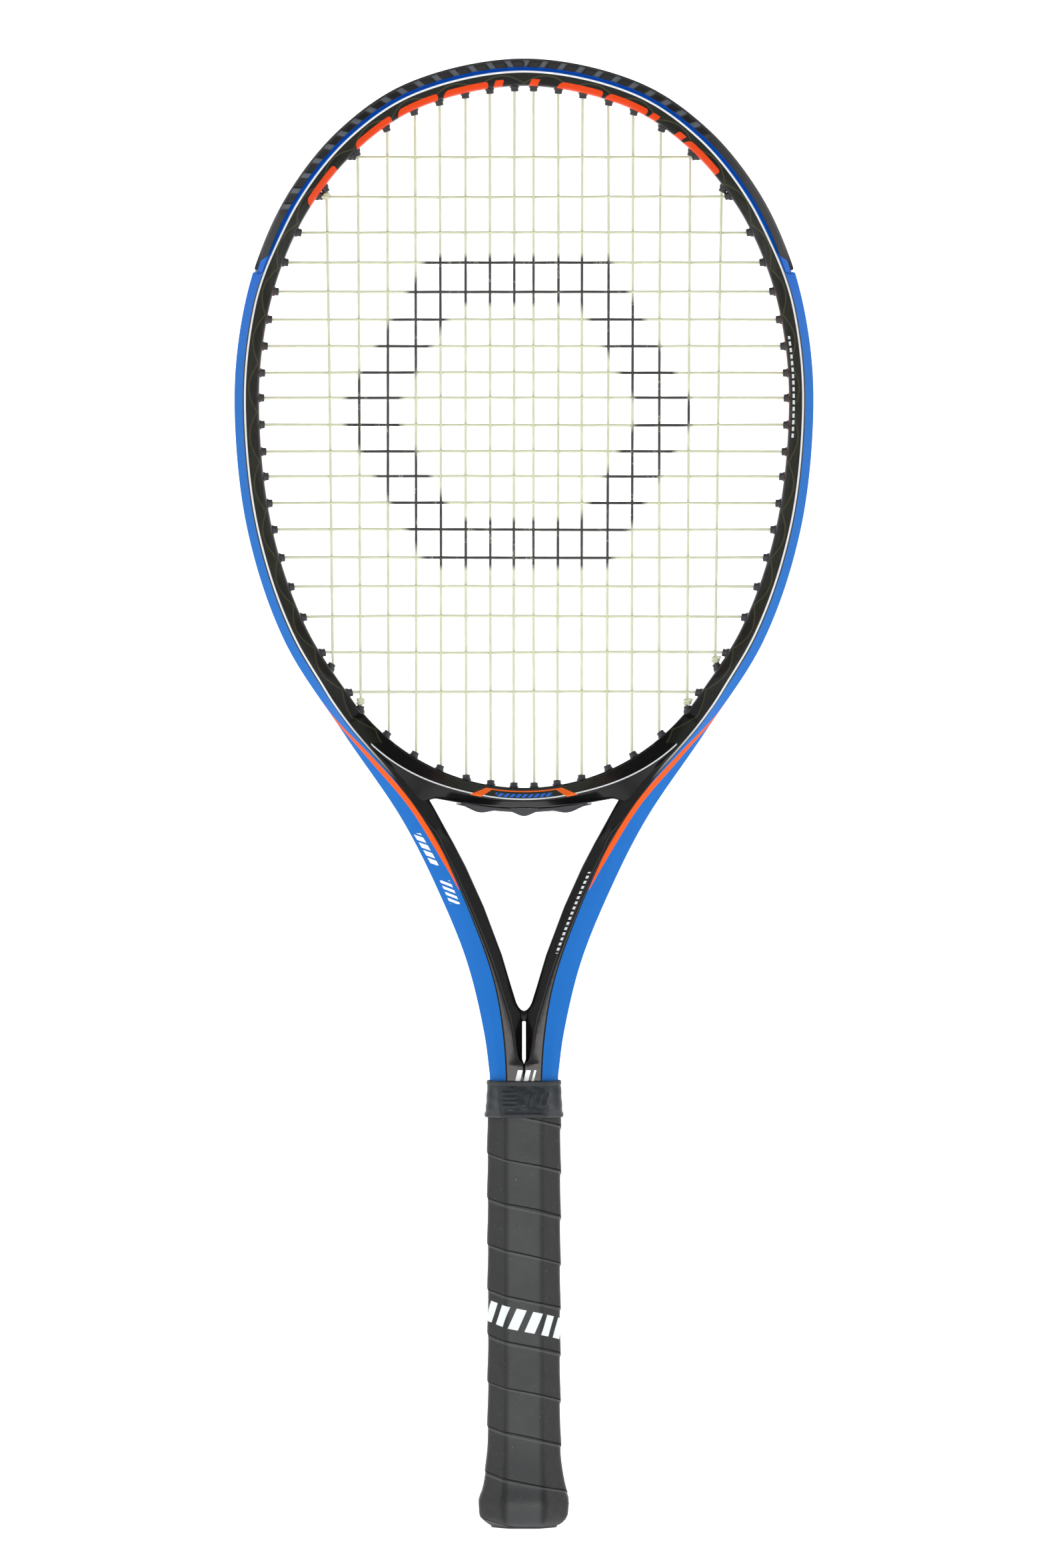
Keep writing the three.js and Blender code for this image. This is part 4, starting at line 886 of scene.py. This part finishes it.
# ---------------------------------------------------------------- strings
def tube(points, radius=STRING_RADIUS, around=10):
    """A round tube along 3-D points, turned as little as possible from ring to ring."""
    p = np.asarray(points, float)
    along = unit(np.gradient(p, axis=0))
    side = np.empty_like(p)
    side[0] = unit(np.cross(along[0], [0.0, 1.0, 0.02]))
    for i in range(1, len(p)):
        side[i] = unit(side[i - 1] - along[i] * np.dot(side[i - 1], along[i]))
    other = np.cross(along, side)
    turn = np.linspace(0, 2 * math.pi, around, endpoint=False)
    radius = np.broadcast_to(radius, (len(p),))
    rings = p[:, None] + radius[:, None, None] * (
        side[:, None] * np.cos(turn)[None, :, None] + other[:, None] * np.sin(turn)[None, :, None])
    run = run_along(p)
    twist = np.sin(turn[None, :] + run[:, None] * 0.35)
    verts, faces = skin(rings)
    return verts, faces, np.append(twist.ravel(), [0, 0])


# The two mouths of each string, mains from left to right and crosses from the top.
main_lines = [(flipped(foot), flipped(top)) for foot, top in zip(main_feet[::-1], main_tops[::-1])]
main_lines += zip(main_feet, main_tops)
cross_lines = [(flipped(s), s) for s in cross_ends]


def woven(start, end, others, sign, axis):
    """A string from mouth to mouth that goes over and under the strings that it crosses."""
    a, b = start[0] + start[1] * 2.2, end[0] + end[1] * 2.2
    a_in, b_in = start[0] - start[1] * 0.3, end[0] - end[1] * 0.3
    count = int(np.linalg.norm(b_in - a_in) / 1.5)
    t = np.linspace(0, 1, count)
    line = a_in[None] + (b_in - a_in)[None] * t[:, None]
    bow = rng.normal(0, 0.16) * np.sin(math.pi * t) + rng.normal(0, 0.1) * np.sin(2 * math.pi * t)
    line[:, 1 - axis] += bow
    where = [(mix(one[0][axis], other[0][axis], 0.5), k) for k, (one, other) in enumerate(others)]
    places, heights = [line[0, axis]], [0.0]
    low, high = sorted((line[0, axis], line[-1, axis]))
    for place, k in sorted(where, reverse=line[0, axis] > line[-1, axis]):
        if low + 1.5 < place < high - 1.5:
            places.append(place)
            heights.append(0.58 * sign * (1 if k % 2 else -1))
    places.append(line[-1, axis])
    heights.append(0.0)
    order = np.argsort(places)
    places, heights = np.asarray(places)[order], np.asarray(heights)[order]
    at = np.clip(np.searchsorted(places, line[:, axis]) - 1, 0, len(places) - 2)
    share = (line[:, axis] - places[at]) / (places[at + 1] - places[at])
    y = mix(heights[at], heights[at + 1], 0.5 - 0.5 * np.cos(math.pi * np.clip(share, 0, 1)))
    body = np.stack([line[:, 0], y, line[:, 1]], axis=1)
    return np.vstack([[[a[0], 0, a[1]]], body, [[b[0], 0, b[1]]]])


def onto(edge, into, depth, start, end, step=3.0):
    """Points along an edge at a depth, between the places nearest to two points."""
    line = edge + into * depth
    i, j = (int(np.argmin(np.linalg.norm(line - p, axis=1))) for p in (start, end))
    picks = np.linspace(i, j, max(3, int(abs(i - j) * 0.9 / step) + 2)).round().astype(int)
    return line[picks]


def string_piece(name, paths, around=10):
    """One piece of many strings."""
    tubes = [tube(path, around=around) for path in paths]
    verts, faces = join([t[:2] for t in tubes])
    return mesh_object(name, verts, faces, STRING, twist=np.concatenate([t[2] for t in tubes]))


def strings():
    piece = string_piece("main_strings_woven", [
        woven(foot, top, cross_lines, 1 if m % 2 else -1, 1) for m, (foot, top) in enumerate(main_lines)])
    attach(piece, "root")
    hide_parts("main_string")
    piece = string_piece("cross_strings_woven", [
        woven(left, right, main_lines, -1 if c % 2 else 1, 0) for c, (left, right) in enumerate(cross_lines)])
    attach(piece, "root")
    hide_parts("cross_string")


def outer_runs():
    """The strings where they lie in the groove outside the frame, between one hole and the next."""
    paths = []

    def exit_of(seat, depth):
        line = outer + outer_into * depth
        far = reach(seat[0], seat[1], line)
        return seat[0] + seat[1] * far

    def loop(a, b, y, mirror):
        depth = 0.95
        ea, eb = exit_of(a, depth), exit_of(b, depth)
        way = onto(outer, outer_into, depth, ea, eb)
        path = np.vstack([a[0] + a[1] * 4, exit_of(a, 2.6), way[1:-1], exit_of(b, 2.6), b[0] + b[1] * 4])
        path = spline(path, 6) if len(path) > 3 else path
        p = np.stack([path[:, 0], np.full(len(path), y), path[:, 1]], axis=1)
        paths.append(spaced(p * [-1, 1, 1] if mirror else p, 1.2))

    for mirror in (False, True):
        for i in (0, 2, 4, 6):
            loop(main_tops[i], main_tops[i + 1], -0.3, mirror)
        loop(main_feet[5], main_feet[6], -0.5, mirror)
        loop(main_feet[6], main_feet[7], 0.7, mirror)
    for i in range(18):
        loop(cross_ends[i], cross_ends[i + 1], 0.3, i % 2 == 1)
    piece = string_piece("outer_string_runs", paths, around=8)
    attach(piece, "root")


def knots():
    """Tie-off knots: a lump of tight half hitches round the string, with a cut tail."""
    spots = [("main_knot_left", flipped(main_feet[6]), -1), ("main_knot_right", main_feet[6], 1),
             ("cross_knot_top", flipped(main_tops[7]), -1), ("cross_knot_bottom", main_feet[7], 1)]
    for name, seat, side in spots:
        into = -seat[2]
        centre = seat[0] + into * 1.5
        t = np.linspace(0, 1, 110)
        turn = 2 * math.pi * 2.6 * t + 0.6
        radius = 1.15 + 0.35 * np.sin(math.pi * t)
        across = np.array([-into[1], into[0]])
        along = mix(-0.9, 1.5, t) + 0.35 * np.sin(turn * 0.5 + 1)
        p = centre[None] + into[None] * along[:, None] + across[None] * (np.cos(turn) * radius)[:, None]
        y = np.sin(turn) * radius
        wind = np.stack([p[:, 0], y, p[:, 1]], axis=1)
        last = wind[-1]
        away = unit([side * 1.0, -0.55, -0.1 * side]) if name != "cross_knot_top" else unit([-1.0, -0.5, 0.5])
        tail = last[None] + np.linspace(0, 1, 10)[1:, None] * (away * 2.4)[None]
        lead = np.array([[seat[0][0] + seat[1][0] * 1.4, -0.6, seat[0][1] + seat[1][1] * 1.4]])
        path = spline(np.vstack([lead, wind[::3], wind[-1:], tail[1::2]]), 4)
        v, f, tw = tube(spaced(path, 0.35), radius=0.66, around=10)
        piece = mesh_object(f"{name}_tied", v, f, STRING, twist=tw)
        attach(piece, "root")
        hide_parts(name)


# ---------------------------------------------------------------- handle
def octagon_at(half_x, half_y, flat_x, flat_y, corner, per_side=16):
    """An eight-sided outline with rounded corners, the same number of points whatever its size."""
    hx, hy, fx, fy = (np.atleast_1d(np.asarray(v, float)) for v in (half_x, half_y, flat_x, flat_y))
    corners = np.stack([np.stack([sx * a, sy * b], axis=1) for sx, sy, a, b in (
        (1, -1, hx, fy), (1, 1, hx, fy), (1, 1, fx, hy), (-1, 1, fx, hy),
        (-1, 1, hx, fy), (-1, -1, hx, fy), (-1, -1, fx, hy), (1, -1, fx, hy))], axis=1)
    section = rounded(corners, [corner] * 8, 5)
    out = []
    for row in section:
        loop = np.vstack([row, row[:1]])
        out.append(spaced(loop, run_along(loop)[-1] / (8 * per_side))[:-1][: 8 * per_side])
    return np.stack(out)


HANDLE = [  # height, half width and half depth of the wrap's outside
    [1.1, 15.9, 14.1], [1.8, 17.2, 15.4], [3.4, 18.9, 17.1], [5.5, 20.2, 18.4], [9.2, 20.7, 18.9],
    [12.9, 20.9, 19.1], [16.7, 19.6, 17.8], [20.4, 18.8, 17.0], [24.2, 18.2, 16.4], [31.6, 17.3, 15.5],
    [40, 16.9, 15.1], [195, 16.9, 15.1],
]


def handle_size(z):
    h = np.asarray(HANDLE)
    curve = spline(h[:, [1, 0]], 12)
    order = np.argsort(curve[:, 1])
    hx = np.interp(z, curve[order, 1], curve[order, 0])
    return hx, hx - 1.8


def grip_wrap():
    """One tape wound up the handle, each turn lapping over the one below it."""
    pitch, width, steps = 21.3, 25.6, 128
    turns = 12
    phi = np.arange(-steps, turns * steps + 1)
    profile = np.array([  # share of the tape's width, and height over the handle
        [0.0, -0.25], [0.0, 0.15], [0.0, 0.38], [0.012, 0.5], [0.035, 0.52], [0.07, 0.5], [0.12, 0.46],
        [0.18, 0.4], [0.25, 0.33], [0.32, 0.25], [0.4, 0.18], [0.5, 0.12], [0.6, 0.08], [0.7, 0.05],
        [0.77, 0.06], [0.8, 0.16], [0.83, 0.05], [0.9, -0.1], [1.0, -0.3],
    ])
    v = profile[:, 0]
    z0 = 18.6 - pitch * 2.05  # lower edge where the first turn starts, at the right
    rows = []
    for share, up in profile:
        wander = 0.35 * np.sin(phi * 2 * math.pi / steps * 0.37 + 1.3) + 0.2 * np.sin(phi * 0.11)
        z = z0 + (phi / steps) * pitch + share * width + wander * (1 - share)
        z = np.clip(z, 1.1, 194.3)
        hx, hy = handle_size(z)
        ring = octagon_at(hx + up, hy + up, hx * 0.49, hy * 0.36, 1.5)
        at = ring[np.arange(len(phi)), (-phi) % steps]
        rows.append(np.stack([at[:, 0], at[:, 1], z], axis=1))
    rows = np.stack(rows)  # across x along x 3
    count = len(phi)
    verts = rows.reshape(-1, 3)
    faces = grid_faces(len(v), count, closed=False)
    corners = verts[faces]
    tall = corners[..., 2].max(axis=1) - corners[..., 2].min(axis=1)
    faces = faces[tall > 0.02]
    used = np.unique(faces)
    index = np.full(len(verts), -1)
    index[used] = np.arange(len(used))
    faces = index[faces]
    a, b, c = (verts[used][faces[:, i]] for i in (0, 1, 2))
    normal = np.cross(b - a, c - a)
    middle = verts[used][faces].mean(axis=1)
    if np.sum(normal[:, 0] * middle[:, 0] + normal[:, 1] * middle[:, 1]) < 0:
        faces = faces[:, ::-1]
    across = np.repeat(v * width, count)[used]
    along = np.tile(phi / steps * 106.0, len(v))[used]
    lip = np.repeat((v < 0.02).astype(float), count)[used]
    turn = np.tile(phi / steps, len(v))[used]
    printed = ((turn > PRINTED_TURNS[0]) & (turn < PRINTED_TURNS[1])).astype(float)
    piece = mesh_object("grip_wrap_tape", verts[used], faces, GRIP,
                        across=across, turn=along, lip=lip, printed=printed)
    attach(piece, "root")
    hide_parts("grip_wrap")


def lathe_octagon(rows, corner=1.2, per_side=12):
    """Rings of an octagonal piece from rows of z, half x, half y, flat x, flat y."""
    rows = np.asarray(rows, float)
    rings = octagon_at(rows[:, 1], rows[:, 2], rows[:, 3], rows[:, 4], corner, per_side)
    z = np.broadcast_to(rows[:, 0, None], rings.shape[:2])
    return np.concatenate([rings, z[..., None]], axis=2)


def collar():
    """Rubber collar: a bead at each end, a slightly crumpled skin and moulded bars."""
    outside = [[191.6, 17.6, 15.8, 9.8, 7], [191.5, 18.1, 16.3, 9.8, 7], [192.2, 18.5, 16.7, 10, 7.2],
               [193.1, 18.5, 16.7, 10, 7.2], [193.9, 18.05, 16.3, 10.2, 7.6], [194.6, 17.95, 16.2, 10.4, 8],
               [197.5, 17.75, 15.7, 10.4, 8.2], [200.5, 17.5, 14.9, 10.4, 8.2], [203.5, 17.35, 14.1, 10.2, 7.8],
               [206.2, 17.2, 13.4, 10, 7.2], [206.8, 17.3, 13.4, 10, 7.2], [207.3, 17.5, 13.6, 10.2, 7.4],
               [208.1, 17.5, 13.6, 10.2, 7.4], [208.6, 17.2, 13.3, 10, 7.2], [208.5, 16.8, 12.8, 9.8, 7]]
    out = np.asarray(outside)
    run = run_along(out[:, :3])
    at = np.linspace(0, run[-1], 90)
    dense_rows = np.stack([np.interp(at, run, out[:, i]) for i in range(5)], axis=1)
    rings = lathe_octagon(dense_rows, 2.2, 40)
    x, y, z = (rings[..., i] for i in range(3))
    raised = np.zeros(x.shape)
    front = y < 0
    for k in range(4):  # four bars, one over the other
        bar = smooth(0.62 - np.abs(z - (197.0 + k * 2.05)), 0, 0.3)
        raised += 0.3 * bar * smooth(x, -10.4, -9.9) * (1 - smooth(x, -3.9, -3.4)) * front
    for cx in (0.9, 4.2, 7.5, 10.8):  # and four slanted ones beside them
        bar = smooth(0.75 - np.abs(x - cx - (z - 200) * 0.3), 0, 0.3)
        raised += 0.28 * bar * smooth(z, 196.9, 197.3) * (1 - smooth(z, 202.6, 203.0)) * front
    crumple = 0.16 * np.sin(x * 0.45 + z * 0.6) * np.sin(z * 0.5 + x * 0.2) + 0.1 * np.sin(x * 1.1 + 2.0)
    push = raised + crumple * smooth(z, 194.5, 196) * (1 - smooth(z, 205, 206.5))
    away = unit(np.stack([x / 17.5, y / 15.0], axis=-1))
    rings[..., 0] += away[..., 0] * push
    rings[..., 1] += away[..., 1] * push
    inside = lathe_octagon([[208.3, 16.7, 12.2, 9.4, 6.3], [201, 16.7, 12.3, 9.4, 6.3], [198, 17.0, 14.6, 9.8, 7.4],
                            [192, 17.2, 15.4, 9.8, 7.4]], 1.2, 40)
    rings = np.concatenate([rings, inside, rings[:1]])
    verts, faces = skin(rings, caps=False)
    piece = mesh_object("grip_collar_skin", verts, faces, RUBBER)
    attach(piece, "collar")
    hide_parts("grip_collar")


def butt_cap():
    """The cap's end: a rounded octagonal ring with a shallow moulded step round the cover."""
    rows = [
        [30, 13.8, 12, 7, 4.5], [8, 13.8, 12, 7, 4.5], [2.4, 13.6, 11.8, 7, 4.4], [2.4, 10.1, 8.1, 5, 3],
        [1.2, 10.0, 8.0, 5, 3], [0.25, 10.05, 8.05, 5, 3], [0.0, 10.4, 8.4, 5.2, 3.1], [0.0, 12.3, 10.5, 6, 3.8],
        [0.35, 12.7, 10.9, 6.2, 3.9], [0.35, 13.3, 11.5, 6.5, 4.1], [0.0, 13.7, 11.9, 6.7, 4.3],
        [0.0, 15.2, 13.4, 7.4, 4.8], [0.3, 15.4, 13.6, 7.6, 5.0], [1.2, 15.6, 13.8, 7.7, 5.1],
        [2.6, 16.4, 14.6, 8, 5.3], [4.2, 17.4, 15.6, 8.5, 5.7], [8, 18.6, 16.8, 9.2, 6.1], [14, 18.2, 16.4, 9, 6],
        [24, 16, 14.2, 8, 5.2], [32, 15, 13.2, 7.4, 4.8], [32, 13.9, 12.1, 7, 4.5], [30, 13.8, 12, 7, 4.5],
    ]
    rings = lathe_octagon(rows, 1.6, 14)
    verts, faces = skin(rings, caps=False)
    piece = mesh_object("butt_cap_skin", verts, faces, PLASTIC)
    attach(piece, "root")
    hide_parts("butt_cap")


def end_cover():
    """The cover: a slightly dished plate with a raised plain hexagon ring, and its two clips."""
    rows = [
        [1.9, 0.3, 0.3, 0.15, 0.15], [1.9, 9.5, 7.5, 4.7, 2.8], [0.5, 9.7, 7.7, 4.8, 2.9], [0.05, 9.4, 7.4, 4.6, 2.8],
        [0.0, 8.9, 6.9, 4.4, 2.6], [0.3, 8.3, 6.3, 4.1, 2.4], [0.42, 6.2, 4.7, 3, 1.8], [0.1, 5.8, 4.3, 2.8, 1.6],
        [0.1, 4.6, 3.3, 2.2, 1.2], [0.42, 4.2, 2.9, 2, 1.1], [0.45, 0.3, 0.3, 0.15, 0.15],
    ]
    plate = skin(lathe_octagon(rows, 0.5, 10))
    parts = [plate]
    for side in (-1, 1):
        corners = np.array([[-0.7, -3.0], [0.7, -3.0], [0.7, 3.0], [-0.7, 3.0]])
        rings = []
        for z, shift, thick in ((1.4, 0, 1.2), (3, 0, 1), (6, 0, 1), (6.8, 0.25, 1.25), (7.6, 0, 0.9), (8, -0.1, 0.5)):
            section = rounded((corners * [thick, 1])[None], [0.3] * 4, 3)[0]
            rings.append(np.column_stack([section[:, 0] + side * 6.5 + side * shift, section[:, 1],
                                          np.full(len(section), z)]))
        parts.append(skin(np.stack(rings)))
    verts, faces = join(parts)
    piece = mesh_object("end_cover_skin", verts, faces, PLASTIC)
    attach(piece, "cover")
    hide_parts("end_cover")


# ---------------------------------------------------------------- build
hairpin = frame_skin()
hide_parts("frame_hairpin")
throat_web()
bridge = bridge_skin()
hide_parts("throat_bridge")
bumper()
side_strips()
throat_strip()
strings()
outer_runs()
knots()
grip_wrap()
collar()
butt_cap()
end_cover()

# The CAD's own pieces that stay get these materials.
KEPT = {FOAM: ("front_pallet", "back_pallet", "left_leg_plug", "right_leg_plug"),
        STEEL: ("right_cap_staple", "left_cap_staple"), TAPE: ("finishing_tape",)}
for material, name in ((material, name) for material, names in KEPT.items() for name in names):
    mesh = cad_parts[name].data
    mesh.materials.clear()
    mesh.materials.append(material)

# ---------------------------------------------------------------- floor, light, camera
EYE_HEIGHT, EYE_SIDE = 0.347, -0.0007  # metres
PICTURE_HEIGHT = 0.73287  # metres that the picture takes in at the racket, from top to bottom
FLOOR_RADIUS, WALL_BEND, WALL_HEIGHT = 7600, 2300, 9200


def backdrop():
    """A pale floor that curves up into a wall all round the racket, the camera and the lamps."""
    turn = np.linspace(0, math.pi / 2, 16)
    radius = np.concatenate([[0.01, 400, 1200, 2400, 4800, 7200], FLOOR_RADIUS + WALL_BEND * np.sin(turn),
                             [FLOOR_RADIUS + WALL_BEND]])
    height = np.concatenate([[0] * 6, WALL_BEND - WALL_BEND * np.cos(turn), [WALL_HEIGHT]])
    angle = np.linspace(0, 2 * math.pi, 96, endpoint=False)
    rings = np.stack([radius[:, None] * np.cos(angle), radius[:, None] * np.sin(angle),
                      np.broadcast_to(height[:, None], (len(radius), 96))], axis=-1)
    verts, faces = rings.reshape(-1, 3), grid_faces(len(radius), 96)
    n = Nodes("backdrop_paper")
    paper = n.mix(n.noise(40.0, 3.0), (0.7, 0.7, 0.7, 1), (0.72, 0.72, 0.72, 1))
    lit = n.node("ShaderNodeMapRange", {0: n.axes()[1], 1: -1300.0, 2: -150.0, 3: 0.1, 4: 0.97},
                 interpolation_type="SMOOTHSTEP")
    material = n.finish(Base_Color=paper, Roughness=0.9, Emission_Color=(1, 1, 1, 1), Emission_Strength=lit)
    piece = mesh_object("floor", verts, faces, material)


backdrop()

scene = bpy.context.scene
scene.view_settings.view_transform = "Standard"
world = scene.world or bpy.data.worlds.new("world")
scene.world = world
world.use_nodes = True
world.node_tree.nodes["Background"].inputs[0].default_value = (0.9, 0.92, 0.95, 1)
world.node_tree.nodes["Background"].inputs[1].default_value = 0.12


def soft_light(name, where, towards, size, power, colour=(1, 1, 1)):
    light = bpy.data.lights.new(name, "AREA")
    light.shape, light.size, light.size_y = "RECTANGLE", size[0], size[1]
    light.energy, light.color = power, colour
    obj = bpy.data.objects.new(name, light)
    scene.collection.objects.link(obj)
    obj.location = where
    obj.rotation_euler = (Vector(towards) - Vector(where)).to_track_quat("-Z", "Y").to_euler()


soft_light("key", (-1.35, -1.5, 0.95), (0, 0, 0.35), (0.7, 1.7), 7.0)
soft_light("fill", (1.4, -1.5, 0.85), (0, 0, 0.35), (0.7, 1.7), 6.2)
soft_light("low", (0.0, -1.9, 0.1), (0, 0, 0.1), (0.7, 0.2), 3.4, (1, 0.97, 0.93))
soft_light("top", (0, -0.2, 3.0), (0, 0, 0), (2.0, 2.0), 10)

camera = bpy.data.cameras.new("camera")
camera.lens = 200
camera.sensor_fit = "AUTO"
camera.sensor_width = 36
eye = bpy.data.objects.new("camera", camera)
scene.collection.objects.link(eye)
eye.location = (EYE_SIDE, -PICTURE_HEIGHT * camera.lens / camera.sensor_width, EYE_HEIGHT)
eye.rotation_euler = (math.pi / 2, 0, 0)
scene.camera = eye

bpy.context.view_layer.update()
